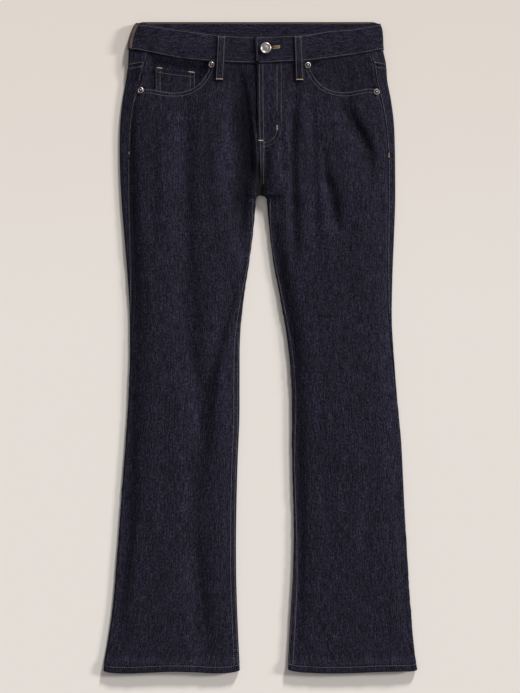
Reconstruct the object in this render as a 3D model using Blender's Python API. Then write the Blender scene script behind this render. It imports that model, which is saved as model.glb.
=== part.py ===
"""Bootcut jeans, laid flat and face up.

X runs to the wearer's left, Y to the waist and Z up from the surface that the jeans lie on.
Sizes are in millimetres and become metres in the meshes. A place on the cloth is given by how far
it is down from the back waist edge, and how far it is around from the side fold: positive over the
front, negative over the back. "Right" and "left" are the wearer's.
"""

import math

import bmesh
import bpy
import numpy as np
from mathutils import Vector

MM = 0.001
RIGHT, LEFT = -1, 1
SIDE_NAME = {RIGHT: "right", LEFT: "left"}

LENGTH = 1050.0  # back waist edge to hem
CLOTH = 1.3  # one layer of denim
BAND_PROUD = 1.3  # the waistband's second layer stands out by this much
HEM_CLOTH = 2.4
HEM_DEPTH = 14.0
SEAM = 0.3  # between pieces that are sewn edge to edge
LAYER = 0.5  # between layers that lie on each other
ON_TOP = 0.3  # under a piece that is sewn on
LOOP_CLOTH = 1.8
LOOP_GAP = 1.0  # behind the belt loops
FOLD_RADIUS = 3.1  # of the cloth at the side folds
CROTCH = 279.5
CROTCH_ARCH = 6.0

# Distance of the outer side folds from the centre line.
OUTER = {
    "down": (0, 10, 26, 45, 68, 93, 126, 158, 206, 250, 287, 351, 415, 480, 544, 609, 673, 737,
             802, 866, 931, 995, 1034, 1050),
    RIGHT: (198.5, 203.5, 209.5, 212.3, 213.5, 216.9, 222.5, 226, 227.2, 226.3, 224.3, 219.3, 214,
            210.8, 211.1, 213.2, 217, 221.9, 226.7, 231.7, 236.8, 245.4, 252.1, 252.9),
    LEFT: (190.5, 195, 196.4, 197.8, 202.5, 204.5, 210.7, 214.9, 217, 217.5, 217.5, 215.3, 212.8,
           211.9, 215.6, 220.7, 226.7, 230.4, 233.6, 237.3, 241.3, 246.5, 251.2, 253.4),
}
# Distance of the legs' inner folds from the centre line.
INNER = {
    "down": (280, 303, 335, 383, 448, 512, 576, 641, 705, 770, 834, 898, 963, 1034, 1050),
    RIGHT: (6.3, 8.9, 11.8, 18.2, 27.4, 33, 33.7, 34, 36.7, 38.5, 39.4, 39, 37, 33.6, 32.6),
    LEFT: (9.8, 11.8, 15, 20.6, 32.8, 43.3, 49.3, 51, 51.3, 53.1, 54.1, 51.7, 48, 44.3, 43.6),
}
# How far the side seams lie around from the side folds, on the front where positive.
SIDE_SEAM = {
    "down": (45, 68, 93, 126, 206, 287, 367, 440, 500, 560, 640, 760, 1050),
    RIGHT: (34, 28.5, 25, 22.4, 19, 15.5, 10.6, 6.5, 3, 0, -2.5, -3.5, -3.5),
    LEFT: (24, 22, 19.5, 18, 14, 13.5, 11.5, 8.5, 6, 4, 2, 0, -1),
}
# How far the inseams lie from the inner folds, on the front where positive.
INSEAM = {
    "down": (280, 310, 415, 470, 530, 600, 680, 760, 830, 900, 1050),
    RIGHT: (0, -3, -3.5, 0, 2.5, 3, 3, 3, 3, 2.5, 2.5),
    LEFT: (0, -3, -3.5, -2.5, -0.5, 0.5, -2, -3, -2, 1, 2),
}
# The front waistband's edges, by the place across the garment.
BAND_FRONT = {
    "across": (-200, -170, -122, -74, -26, 0, 48, 72, 112, 152, 192),
    "top": (2, 6, 13.5, 19.5, 23.3, 23.8, 21.9, 20.3, 13.8, 10.5, 3),
    "bottom": (45.6, 52, 60.7, 64.8, 67, 67.4, 65, 64, 59.1, 53.6, 45.8),
}
BAND_BACK_TOP = 0.0
BAND_BACK_BOTTOM = 44.0
# The hand pocket's edge: its share of the way from the waistband to the side seam, and how far
# down it is from the waistband's seam at its inner end.
SCOOP = {
    "share": (0, 0.015, 0.06, 0.14, 0.24, 0.36, 0.5, 0.65, 0.85, 1),
    "depth": (0, 9, 20.5, 33, 42, 47.3, 49, 47.5, 43.7, 44.5),
}
SCOOP_START = {RIGHT: 81.5, LEFT: 78.2}
FACING_EDGE = {
    "share": (0, 0.1, 0.25, 0.4, 0.6, 0.78, 0.87, 0.93, 1),
    "depth": (34, 44, 57, 62, 61, 55, 46, 41.4, 42.9),
}
FACING_INSET = 12.0  # how far the facing goes on behind the front, inside the scoop's start
FACING_DROP = {RIGHT: 3.7, LEFT: 2.0}  # from the front's skin down to the facing's
FACING_SINKS = {"side": 13.0, "band": 14.0, "from": 6.0, "scoop": 12.0}  # away from its seams
COIN_POCKET = {"outer": 169.5, "inner": 105.3, "top": 73.3, "inner top": 81.3, "bottom": 121.0}
COIN_POCKET_OUT = (-3.25, -1.95)
# How far the hem's edge rises above its lowest line, by the share of the way in from the side.
HEM_RISE = {
    "share": (0, 0.04, 0.12, 0.3, 0.5, 0.66, 0.82, 0.93, 1),
    RIGHT: (4, 1.6, 0.1, 0.9, 2.7, 1.9, 0.2, 1.4, 5),
    LEFT: (6, 3.6, 3.2, 2.3, 0.5, 0, 1, 3, 6.5),
}
HEM_RISE_FROM = 900.0  # further up, the rows run straight across
# The largest folds of the front: a bent line on it, the widths of its flanks on the wearer's right
# and left, and how far it is up or down.
FOLDS = (
    (((-36, 62), (-30, 105), (-23, 150), (-17, 195), (-15, 235), (-20, 290)), 16, 6, -8.0),
    (((-40, 90), (-36, 180), (-38, 250), (-46, 345)), 17, 13, -6.5),
    (((-22, 235), (-29, 300), (-40, 392)), 12, 8, -5.0),
    (((-12, 150), (-9, 205), (-8, 250)), 5, 6, 1.5),
    (((-209, 115), (-209, 206), (-208, 290), (-206, 400), (-205, 540)), 9, 7, -5.6),
    (((-206, 560), (-209, 690), (-213, 805), (-222, 880), (-232, 1015)), 12, 9, -4.6),
    (((-121, 60), (-120, 206), (-121, 318), (-117, 480)), 18, 15, -4.6),
    (((-122, 330), (-112, 530), (-100, 600), (-98, 660), (-106, 735), (-109, 900)), 22, 17, -5.4),
    (((-110, 800), (-98, 930), (-88, 1060)), 18, 14, -4.8),
    (((-33, 385), (-48, 448), (-62, 500), (-75, 560), (-87, 620), (-94, 700)), 18, 8, -5.6),
    (((-152, 95), (-154, 220), (-150, 380)), 20, 20, 1.6),
    (((-74, 88), (-68, 190), (-74, 330)), 13, 12, 1.8),
    (((54, 82), (52, 160), (51, 230), (53, 300), (57, 420)), 8, 7, -5.4),
    (((66, 66), (68, 120), (70, 200)), 6, 8, 1.6),
    (((37, 180), (35, 230), (38, 268)), 6, 7, -3.6),
    (((82, 100), (86, 230), (92, 420)), 9, 8, -2.8),
    (((102, 195), (103, 235), (108, 285)), 7, 6, -2.6),
    (((150, 56), (139, 112), (139, 140), (149, 163), (164, 185), (175, 208), (180, 290)), 15, 9, -6.0),
    (((109, 235), (116, 285), (127, 350)), 11, 8, -5.2),
    (((18, 300), (30, 400), (43, 470), (53, 540), (56, 640)), 7, 9, -3.0),
    (((53, 560), (59, 673), (60, 760), (61, 850), (61, 940), (58, 1045)), 6, 9, -3.4),
    (((9, 196), (9, 232), (8, 270)), 5, 6, -3.6),
    (((169, 280), (165, 370), (160, 470)), 18, 18, 1.6),
    (((140, 590), (147, 760), (152, 970)), 26, 26, 1.4),
)
# The cloth's height over the layers beneath it, and at the legs' side folds and inner folds.
CROWN = {"down": (0, 60, 160, 900, 1050), "height": (1.8, 3.3, 6.0, 5.8, 3.0)}
SIDE_LOFT = {"down": (0, 90, 180, 1050), RIGHT: (1.2, 1.2, 1.0, 1.0), LEFT: (1.4, 1.8, 1.6, 1.6)}
INNER_LOFT = {"down": (255, 290, 340), RIGHT: (4.0, 3.1, 2.0), LEFT: (4.0, 3.1, 2.1)}
LEAST_LOFT = 0.9
EDGE_REACH = 20.0
CROTCH_HOLLOW = {"from": 216.0, "to": 268.0, "end": 340.0, "reach": 9.0, "height": 2.9}
FOLD_FADE = 0.3  # the share of a fold's length over which it swells, and over which it fades
DIP_FROM = 232.0  # from here down to the crotch, the front and back come together
LEG_OPENS = {"from": CROTCH - 10, "length": 50.0}  # where the folds fade at the inner edges
FOLD_CLEAR = 7.0  # the front's folds fade this near to the legs' edges
FLY_EDGE = {"down": (60, 200, 260), "across": (-5, -3, 0)}
FLY_LAYERS, FLY_WIDTH, FLY_FADE = 3.2, 38.0, 40.0
FLY_BOTTOM, FLY_BOTTOM_FADE = 140.0, 65.0
BAND_LAP_EDGE = -8.0  # where the left waistband ends on top of the right one
BAND_UNDERLAP_END = 36.0
BAND_JOINT = -8.0  # the waistband's front and back meet just behind the side fold
YOKE_SIDE, YOKE_CENTRE = 69.0, 106.0
FLY_SHIELD = {"top": 69.5, "bottom": 163.0, "width": 34.0, "taper": 12.0}
FLY_ZIP = {"top": 70.5, "bottom": 140.0, "from": 3.0, "width": 23.0}
FLY_ZIP_OUT = (-2.75, -1.85)
BUTTON_AT = (8.2, 43.5)  # across, down
BUTTON_RADIUS, BUTTON_HEIGHT, SHANK_RADIUS = 8.7, 2.6, 1.4
BUTTONHOLE = {"from": 5.6, "to": 30.5}
# Rows across the waistband: the buttonhole lies between the third and the fourth.
BAND_SHARES = np.array((0, 0.2, 0.4126, 0.4954, 0.75, 1))[:, None]
RIVET_RADIUS = 4.75
RIVETS = {
    "rivet_right_inner": (RIGHT, -78.7, 69.5),
    "rivet_right_outer": (RIGHT, -193.0, 110.5),
    "rivet_left_inner": (LEFT, 76.2, 70.5),
    "rivet_left_outer": (LEFT, 187.1, 113.0),
}
LOOP_WIDTH = 13.0
LOOP_STEP = (2.0, 12.0)  # below the waistband, a loop comes down to the cloth over this stretch
# Belt loops: across and down at the top, and at the bottom.
FRONT_LOOPS = {
    "belt_loop_front_right": (RIGHT, -62.6, 22.5, -66.2, 94.5),
    "belt_loop_front_left": (LEFT, 59.8, 22.5, 63.0, 95.5),
}
BACK_LOOPS = {
    "belt_loop_back_right": (RIGHT, -138.0, 1.5, -140.0, 74.0),
    "belt_loop_back_centre": (LEFT, 0.0, 1.5, 0.0, 74.0),
    "belt_loop_back_left": (LEFT, 138.0, 1.5, 140.0, 74.0),
}
BACK_POCKET = {"inner": 38.0, "outer": 172.0, "top": 122.0, "slope": -0.16, "sides": 118.0,
               "point": 16.0, "taper": 9.0}
PATCH = {"from": -50.0, "to": 6.6, "thick": 1.0, "margin": 2.5}

DENIM = ((0.024, 0.022, 0.042), 0.9, 0.0)
LEATHER = ((0.09, 0.045, 0.035), 0.7, 0.0)
METAL = ((0.5, 0.45, 0.42), 0.35, 1.0)

ARC_EXTRA = (math.pi / 2 - 1) * FOLD_RADIUS
PROBE = 0.4  # step for the skin's slope


def curve(at, knots, values):
    """A smooth curve through the values at the knots."""
    knots, values = np.array(knots, float), np.array(values, float)
    slopes = np.gradient(values, knots)
    at = np.clip(at, knots[0], knots[-1])
    cell = np.clip(np.searchsorted(knots, at) - 1, 0, len(knots) - 2)
    step = knots[cell + 1] - knots[cell]
    t = (at - knots[cell]) / step
    start = (1 + 2 * t) * (1 - t) ** 2 * values[cell] + t * (1 - t) ** 2 * step * slopes[cell]
    end = t * t * (3 - 2 * t) * values[cell + 1] - t * t * (1 - t) * step * slopes[cell + 1]
    return start + end


def ramp(x):
    """From 0 to 1 with soft ends."""
    t = np.clip(x, 0, 1)
    return t * t * (3 - 2 * t)


def outer_edge(side, down):
    return curve(down, OUTER["down"], OUTER[side])


def fly_edge(down):
    return curve(down, FLY_EDGE["down"], FLY_EDGE["across"])


def leg_opening(down):
    """0 above the crotch, and 1 below its small arch."""
    s = np.clip((down - CROTCH) / CROTCH_ARCH, 0, 1)
    return np.sqrt(1 - (1 - s) ** 2)


def inner_edge(side, down, front):
    """The leg's inner fold, or the centre seam above the crotch."""
    leg = curve(down, INNER["down"], INNER[side])
    seam = side * fly_edge(down) if front else 0.0
    return seam + (leg - seam) * leg_opening(down)


def crotch_dip(down):
    """How far the front and back have come together at the inner edge."""
    return ramp((down - DIP_FROM) / (CROTCH - DIP_FROM))


def girth(side, down, front):
    """From the side fold to the inner edge, along the cloth."""
    width = outer_edge(side, down) - inner_edge(side, down, front)
    return width + ARC_EXTRA * (1 + crotch_dip(down))


def round_fold(distance):
    """The way across and the share of the height at this distance along the cloth from a fold."""
    angle = np.clip(distance / FOLD_RADIUS, 0, math.pi / 2)
    across = np.where(
        distance < FOLD_RADIUS * math.pi / 2,
        FOLD_RADIUS * (1 - np.cos(angle)),
        distance - ARC_EXTRA,
    )
    return across, np.sin(angle)


def underside(side, across, down):
    """The back's height over the surface: it lies on the belt loops and the back pockets."""
    pockets = CLOTH + ON_TOP
    loops = BAND_PROUD + LOOP_GAP + LOOP_CLOTH - pockets
    beside = ramp((side * across - BACK_POCKET["outer"] - 4) / 30)
    waist = 1 - ramp((down - 66) / 36)
    under_pockets = pockets * (1 - ramp((down - 272) / 40)) * (1 - beside * (1 - waist))
    return loops * waist * (1 - 0.4 * beside) + under_pockets


def hem_extra(down):
    return (HEM_CLOTH - CLOTH) * ramp((down - (LENGTH - HEM_DEPTH - 14)) / 14)


def fold_along(line, right, left, height, across, down):
    """The height of one fold, which swells and fades along a bent line."""
    line = np.array(line, float)
    reach = 3 * max(right, left)
    low, high = line.min(axis=0) - reach, line.max(axis=0) + reach
    close = (across > low[0]) & (across < high[0]) & (down > low[1]) & (down < high[1])
    run = np.diff(line, axis=0)
    length = np.linalg.norm(run, axis=1)
    offset = np.stack([across[close], down[close]], axis=1)[:, None] - line[:-1]
    t = np.clip((offset * run).sum(axis=2) / length**2, 0, 1)
    gaps = np.linalg.norm(offset - t[..., None] * run, axis=2)
    nearest = gaps.argmin(axis=1)
    each = np.arange(len(nearest))
    t, gap, offset, run = t[each, nearest], gaps[each, nearest], offset[each, nearest], run[nearest]
    before = np.concatenate([[0], np.cumsum(length)])[nearest]
    share = (before + t * length[nearest]) / length.sum()
    fade = ramp(share / FOLD_FADE) * ramp((1 - share) / FOLD_FADE)
    aside = offset[:, 0] * run[:, 1] - offset[:, 1] * run[:, 0]
    total = np.zeros(close.shape)
    total[close] = height * fade * np.exp(-((gap / np.where(aside < 0, right, left)) ** 2))
    return total


def fold_height(across, down):
    """The sum of all the front's folds."""
    across, down = np.broadcast_arrays(across, down)
    return sum(fold_along(*fold, across, down) for fold in FOLDS)


def loft(side, across, down, from_side, from_inner):
    """How far the front stands off the back."""
    dip = crotch_dip(down)
    clear = 1 - np.exp(-((from_side / FOLD_CLEAR) ** 2))
    opened = ramp((down - LEG_OPENS["from"]) / LEG_OPENS["length"])
    clear = clear * (1 - opened * np.exp(-((from_inner / FOLD_CLEAR) ** 2)))
    crown = curve(down, CROWN["down"], CROWN["height"])
    at_side = curve(down, SIDE_LOFT["down"], SIDE_LOFT[side]) - crown
    at_inner = dip * (curve(down, INNER_LOFT["down"], INNER_LOFT[side]) - crown)
    raw = crown + at_side * np.exp(-((from_side / EDGE_REACH) ** 2))
    raw = raw + at_inner * np.exp(-((from_inner / EDGE_REACH) ** 2))
    raw = raw + fold_height(across, down) * clear
    hollow = CROTCH_HOLLOW
    depth = ramp((down - hollow["from"]) / (hollow["to"] - hollow["from"]))
    depth = depth * ramp((hollow["end"] - down) / (hollow["end"] - CROTCH))
    depth = depth * np.exp(-((from_inner / (hollow["reach"] * depth + 1)) ** 2))
    raw = raw + (hollow["height"] - raw) * depth
    spare = raw - LEAST_LOFT
    return LEAST_LOFT + 0.5 * (spare + np.sqrt(spare**2 + 0.6))


def layers_between(side, across, down):
    """The pocket facing, and on the left the fly, between the front and the back."""
    reach = side * across
    from_seam = outer_edge(side, down) + ARC_EXTRA - reach - seam_at(side, down)
    facing = ramp((reach - 45) / 22) * (1 - ramp((down - 128) / 40)) * ramp((from_seam + 8) / 16)
    facing = facing * ramp((down - 5) / 40)
    fly = np.zeros(np.broadcast(across, down).shape)
    if side == LEFT:
        fly = FLY_LAYERS * (1 - ramp((across - FLY_WIDTH) / FLY_FADE))
        fly = fly * (1 - ramp((down - FLY_BOTTOM) / FLY_BOTTOM_FADE))
    return FACING_DROP[side] * facing, fly


def skin_point(side, down, around, front):
    """The place of the cloth's outer skin, with the two legs' folds rounded."""
    length = girth(side, down, front)
    size = np.abs(around)
    past_inner = (size > length) & (down > CROTCH)
    path = np.where(past_inner, 2 * length - size, size)
    over = np.where(past_inner, around < 0, around >= 0)
    from_inner = length - path
    dip = crotch_dip(down)
    side_across, side_share = round_fold(path)
    inner_across, inner_share = round_fold(np.maximum(from_inner, 0))
    inner_across = dip * inner_across + (1 - dip) * from_inner
    near_side = path < length / 2
    reach = np.where(
        near_side,
        outer_edge(side, down) - side_across,
        inner_edge(side, down, front) + inner_across,
    )
    across = side * reach
    facing, fly = layers_between(side, across, down)
    low = underside(side, across, down)
    raised = (loft(side, across, down, path, np.maximum(from_inner, 0)) ** 3 + facing**3) ** (1 / 3)
    high = low + 2 * CLOTH + LAYER + raised + fly + 2 * hem_extra(down)
    share = side_share * (1 - dip * (1 - inner_share))
    middle = (high + low) / 2
    height = np.where(over, middle + (high - middle) * share, middle - (middle - low) * share)
    return np.stack([across, LENGTH / 2 - down + 0 * across, height], axis=-1)


def skin(side, down, around, out=0.0, front=True):
    """The skin's place, moved out along its own normal."""
    down, around = np.broadcast_arrays(np.asarray(down, float), np.asarray(around, float))
    place = skin_point(side, down, around, front)
    ahead = skin_point(side, down, around + PROBE, front)
    behind = skin_point(side, down, around - PROBE, front)
    below = skin_point(side, down + PROBE, around, front)
    above = skin_point(side, down - PROBE, around, front)
    normal = side * np.cross(ahead - behind, below - above)
    normal = normal / np.linalg.norm(normal, axis=-1, keepdims=True)
    return place + normal * np.asarray(out, float)[..., None]


def around_at(side, down, across, front=True):
    """The way around to a place across the front, or across the back."""
    path = outer_edge(side, down) - side * np.asarray(across, float) + ARC_EXTRA
    return path if front else -path


def seam_at(side, down):
    return curve(down, SIDE_SEAM["down"], SIDE_SEAM[side])


def inseam_at(side, down):
    """How far the inseam is from the inner fold: none at all above the crotch."""
    return curve(down, INSEAM["down"], INSEAM[side]) * leg_opening(down)


def shared_out(start, end, length, count):
    """Places from start to end, closer together round the folds."""
    fine = np.linspace(start, end, 241)
    weight = 1 + 8 * np.exp(-((fine / 6) ** 2))
    weight = weight + 8 * np.exp(-(((np.abs(fine) - length) / 6) ** 2))
    total = np.concatenate([[0], np.cumsum((weight[1:] + weight[:-1]) / 2)])
    return np.interp(np.linspace(0, total[-1], count), total, fine)


def material_of(name, look):
    colour, roughness, metallic = look
    found = bpy.data.materials.get(name)
    if found:
        return found
    made = bpy.data.materials.new(name)
    made.use_nodes = True
    shader = made.node_tree.nodes["Principled BSDF"]
    shader.inputs["Base Color"].default_value = (*colour, 1)
    shader.inputs["Roughness"].default_value = roughness
    shader.inputs["Metallic"].default_value = metallic
    return made


def add_object(name, bm, look, smooth=True):
    bmesh.ops.recalc_face_normals(bm, faces=bm.faces)
    mesh = bpy.data.meshes.new(name)
    bm.to_mesh(mesh)
    bm.free()
    if smooth:
        mesh.shade_smooth()
        mesh.set_sharp_from_angle(angle=math.radians(40))
    mesh.materials.append(material_of(name, look))
    made = bpy.data.objects.new(name, mesh)
    bpy.context.scene.collection.objects.link(made)
    return made


def wall(name, outer, inner, look=DENIM, hole=()):
    """A closed wall between two grids of points, with some cells left open."""
    rows, columns = outer.shape[:2]
    bm = bmesh.new()
    skins = [
        [[bm.verts.new(Vector(point) * MM) for point in row] for row in grid]
        for grid in (outer, inner)
    ]
    cells = [
        (r, c)
        for r in range(rows - 1)
        for c in range(columns - 1)
        if (r, c) not in hole
    ]
    edges = {}
    for r, c in cells:
        ring = [(r, c), (r, c + 1), (r + 1, c + 1), (r + 1, c)]
        # Both skins are split along the same, shorter diagonal, so that the wall keeps its thickness.
        falling = np.linalg.norm(outer[r, c] - outer[r + 1, c + 1])
        rising = np.linalg.norm(outer[r, c + 1] - outer[r + 1, c])
        turned_ring = ring if falling <= rising else ring[1:] + ring[:1]
        for corners in (turned_ring[:3], turned_ring[2:] + turned_ring[:1]):
            bm.faces.new([skins[0][a][b] for a, b in corners])
            bm.faces.new([skins[1][a][b] for a, b in reversed(corners)])
        for start, end in zip(ring, ring[1:] + ring[:1]):
            if (end, start) in edges:
                del edges[end, start]
            else:
                edges[start, end] = True
    for start, end in edges:
        corners = [skins[0][a][b] for a, b in (end, start)]
        corners += [skins[1][a][b] for a, b in (start, end)]
        bm.faces.new(corners)
    for vert in [v for v in bm.verts if not v.link_faces]:
        bm.verts.remove(vert)
    return add_object(name, bm, look)


def cloth(name, side, downs, arounds, out=(-CLOTH, 0.0), front=True, **more):
    """A wall between two distances from the skin."""
    outer = skin(side, downs, arounds, out[1] + 0 * downs, front)
    inner = skin(side, downs, arounds, out[0] + 0 * downs, front)
    return wall(name, outer, inner, **more)


def band_edge(side, around, which):
    """How far down the waistband's top or bottom edge is."""
    front = 30.0 + 0 * around
    for _ in range(4):
        reach = outer_edge(side, front) - np.maximum(around - ARC_EXTRA, 0)
        front = curve(side * reach, BAND_FRONT["across"], BAND_FRONT[which])
    back = BAND_BACK_TOP if which == "top" else BAND_BACK_BOTTOM
    return front + (back - front) * ramp(-around / 12)


def scoop_line(side, shares, edge=SCOOP, inset=0.0):
    """Across and down of the hand pocket's edge, or of another edge that follows it."""
    start = SCOOP_START[side] - inset
    top = curve(side * SCOOP_START[side], BAND_FRONT["across"], BAND_FRONT["bottom"])
    down = top + curve(shares, edge["share"], edge["depth"])
    seam = outer_edge(side, down) + ARC_EXTRA - seam_at(side, down)
    return start + (seam - start) * shares, down


# Rows and columns of the smaller pieces' grids.
GRIDS = {
    "yoke": (4, 17),
    "pocket_facing": (5, 10),
    "coin_pocket": (5, 6),
    "back_pocket": (8, 9),
    "belt_loop": (9, 3),
    "fly_shield": (7, 4),
    "fly_zip": (6, 3),
    "waist_patch": (5, 10),
}
# Columns of the waistband: behind the side fold, round it, and on from it over the front.
BAND_BENDS = (12.0, 42.0)
BAND_BEND_COLUMNS = (7, 6, 12)
BAND_BACK_COLUMNS = 12
BAND_MIDDLE = 45.0  # down, where the waistband's places across are measured
NO_FOLD = 400.0  # further around than a waistband reaches
LEG_ROWS = (132, 156, 181, 205, 228, 246, 260, 271, 277.5, 280, 281.2, 283.5, 289, 300, 322, 352,
            386, 422, 460, 500, 542, 586, 632, 680, 728, 776, 824, 872, 920, 966, 1006)
HEM_ROWS = (1034.5, 1037, 1050)
SCOOP_COLUMNS, BAND_COLUMNS = 15, 12
FRONT_COLUMNS = SCOOP_COLUMNS + BAND_COLUMNS + 1
BACK_COLUMNS = 17
TOP_ROWS = 3


def leg_grid(side, front, count):
    """Rows of places from the upper thigh to the hem, each from the side seam to the centre."""
    downs, arounds = [], []
    for station in LEG_ROWS + HEM_ROWS:
        length = float(girth(side, station, front))
        seam = float(seam_at(side, station))
        inner = float(inseam_at(side, station))
        if front:
            row = shared_out(seam + SEAM / 2, length - inner - SEAM / 2, length, count)
        else:
            row = shared_out(seam - SEAM / 2, -length - inner + SEAM / 2, length, count)
        share = 1 - np.abs(1 - np.abs(row) / length)
        rise = curve(share, HEM_RISE["share"], HEM_RISE[side])
        down = station - rise * ramp((station - HEM_RISE_FROM) / (LENGTH - 20 - HEM_RISE_FROM))
        downs.append(down)
        arounds.append(row * girth(side, down, front) / length)
    return np.array(downs), np.array(arounds)


def hem_walls(downs):
    return -CLOTH - (HEM_CLOTH - CLOTH) * (downs > LENGTH - HEM_DEPTH - 7)


def blend_rows(top, grid_row, rows):
    """Rows from a shaped top edge to a plain row, left out themselves at the lower end."""
    shares = np.linspace(0, 1, rows + 1)[:-1, None]
    return top + (grid_row - top) * shares


def front_panel(side):
    """One front, from the hand pocket and the waistband to the hem."""
    downs, arounds = leg_grid(side, True, FRONT_COLUMNS)
    shares = np.linspace(1, 0, SCOOP_COLUMNS + 1) ** 1.25
    scoop_reach, scoop_down = scoop_line(side, shares)
    top_around = outer_edge(side, scoop_down) + ARC_EXTRA - scoop_reach
    top_around[0] = seam_at(side, scoop_down[0]) + SEAM / 2
    edge = side * fly_edge(BAND_FRONT["bottom"][5]) + SEAM / 2
    band_reach = np.linspace(SCOOP_START[side], edge, BAND_COLUMNS + 1)[1:]
    band_down = curve(side * band_reach, BAND_FRONT["across"], BAND_FRONT["bottom"])
    band_around = outer_edge(side, band_down) + ARC_EXTRA - band_reach
    top_down = np.concatenate([scoop_down, band_down])
    top_down[SCOOP_COLUMNS:] += SEAM
    top_around = np.concatenate([top_around, band_around])
    downs = np.vstack([blend_rows(top_down, downs[0], TOP_ROWS), downs])
    # Towards the plain row below, the centre seam and the side seam keep their own places.
    upper = blend_rows(top_around, arounds[0], TOP_ROWS)
    for row in range(TOP_ROWS):
        first, last = downs[row][0], downs[row][-1]
        upper[row][0] = seam_at(side, first) + SEAM / 2
        upper[row][-1] = girth(side, last, True) - SEAM / 2
    arounds = np.vstack([upper, arounds])
    outer = skin(side, downs, arounds)
    inner = skin(side, downs, arounds, hem_walls(downs))
    return wall(f"front_{SIDE_NAME[side]}", outer, inner)


def yoke_seam(side, around):
    """How far down the yoke's lower seam is, deepest at the centre back."""
    length = girth(side, 90.0, False)
    share = np.clip((22 - around) / (length + 22), 0, 1)
    return YOKE_SIDE + (YOKE_CENTRE - YOKE_SIDE) * share


def fit_back(side, arounds, downs, length):
    """Places behind the side fold, stretched from one girth to each row's own."""
    return np.where(arounds < 0, arounds * girth(side, downs, False) / length, arounds)


def back_upper(side, around_row, station):
    """The columns of the lower grid, followed up to the yoke's seam."""
    top_down = yoke_seam(side, around_row) + SEAM
    length = girth(side, station, False)
    return top_down, fit_back(side, around_row, top_down, length)


def back_panel(side):
    """One back, from the yoke to the hem."""
    downs, arounds = leg_grid(side, False, BACK_COLUMNS)
    top_down, top_around = back_upper(side, arounds[0], LEG_ROWS[0])
    upper_down = blend_rows(top_down, downs[0], TOP_ROWS)
    upper_around = blend_rows(top_around, arounds[0], TOP_ROWS)
    for row in range(TOP_ROWS):
        first, last = upper_down[row][0], upper_down[row][-1]
        upper_around[row][0] = seam_at(side, first) - SEAM / 2
        upper_around[row][-1] = -girth(side, last, False) + SEAM / 2
    downs = np.vstack([upper_down, downs])
    arounds = np.vstack([upper_around, arounds])
    outer = skin(side, downs, arounds, front=False)
    inner = skin(side, downs, arounds, hem_walls(downs), front=False)
    return wall(f"back_{SIDE_NAME[side]}", outer, inner)


def grid_shares(name):
    """Shares of the way down and along for a grid, as a column and a row."""
    rows, columns = GRIDS[name]
    return np.linspace(0, 1, rows)[:, None], np.linspace(0, 1, columns)[None]


def yoke(side):
    rows, columns = GRIDS["yoke"]
    middle = (BAND_BACK_BOTTOM + YOKE_CENTRE) / 2
    length = float(girth(side, middle, False))
    row = shared_out(float(seam_at(side, YOKE_SIDE)), -length, length, columns)
    shares = np.linspace(0, 1, rows)[:, None]
    arounds = np.repeat(row[None], rows, axis=0)
    for _ in range(3):
        top = band_edge(side, arounds[0], "bottom") + SEAM
        downs = top + (yoke_seam(side, arounds[-1]) - top) * shares
        arounds = fit_back(side, np.repeat(row[None], rows, axis=0), downs, length)
        arounds[:, 0] = seam_at(side, downs[:, 0]) - SEAM / 2
        arounds[:, -1] = -girth(side, downs[:, -1], False) + SEAM / 2
    return cloth(f"yoke_{SIDE_NAME[side]}", side, downs, arounds, front=False)


def front_band(side):
    """The waistband's front, with the left one lapped over the right one."""
    end = BAND_UNDERLAP_END if side == RIGHT else BAND_LAP_EDGE
    end_around = float(around_at(side, BAND_MIDDLE, end))
    plain = np.concatenate([
        shared_out(BAND_JOINT, BAND_BENDS[0], NO_FOLD, BAND_BEND_COLUMNS[0]),
        np.linspace(*BAND_BENDS, BAND_BEND_COLUMNS[1])[1:],
        np.linspace(BAND_BENDS[1], end_around, BAND_BEND_COLUMNS[2])[1:],
    ])
    hole = ()
    if side == LEFT:
        start, stop = (
            float(around_at(side, BAND_MIDDLE, BUTTONHOLE[key])) for key in ("to", "from")
        )
        plain = plain[plain < start - 4]
        slot = np.linspace(start, stop, 4)
        plain = np.concatenate([plain, slot, [(stop + end_around) / 2, end_around]])
        hole = tuple((2, column) for column in range(len(plain) - 6, len(plain) - 3))
    top = band_edge(side, plain, "top")
    bottom = band_edge(side, plain, "bottom")
    downs = top + (bottom - top) * BAND_SHARES
    arounds = np.repeat(plain[None], len(BAND_SHARES), axis=0)
    name = f"waistband_front_{SIDE_NAME[side]}"
    return cloth(name, side, downs, arounds, (-CLOTH, BAND_PROUD), hole=hole)


def back_band():
    """The waistband's back, from side to side in one piece."""
    grids = {RIGHT: [], LEFT: []}
    for side in (RIGHT, LEFT):
        length = float(girth(side, BAND_MIDDLE, False))
        row = shared_out(BAND_JOINT - SEAM, -length, length, BAND_BACK_COLUMNS)
        top = band_edge(side, row, "top")
        downs = top + (band_edge(side, row, "bottom") - top) * BAND_SHARES
        arounds = np.repeat(row[None], len(BAND_SHARES), axis=0)
        arounds[:, -1] = around_at(side, downs[:, -1], 0.0, front=False)
        for out in (BAND_PROUD, -CLOTH):
            grids[side].append(skin(side, downs, arounds, out + 0 * downs, front=False))
    outer, inner = (
        np.concatenate([grids[RIGHT][i], grids[LEFT][i][:, -2::-1]], axis=1) for i in (0, 1)
    )
    return wall("waistband_back", outer, inner)


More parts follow.
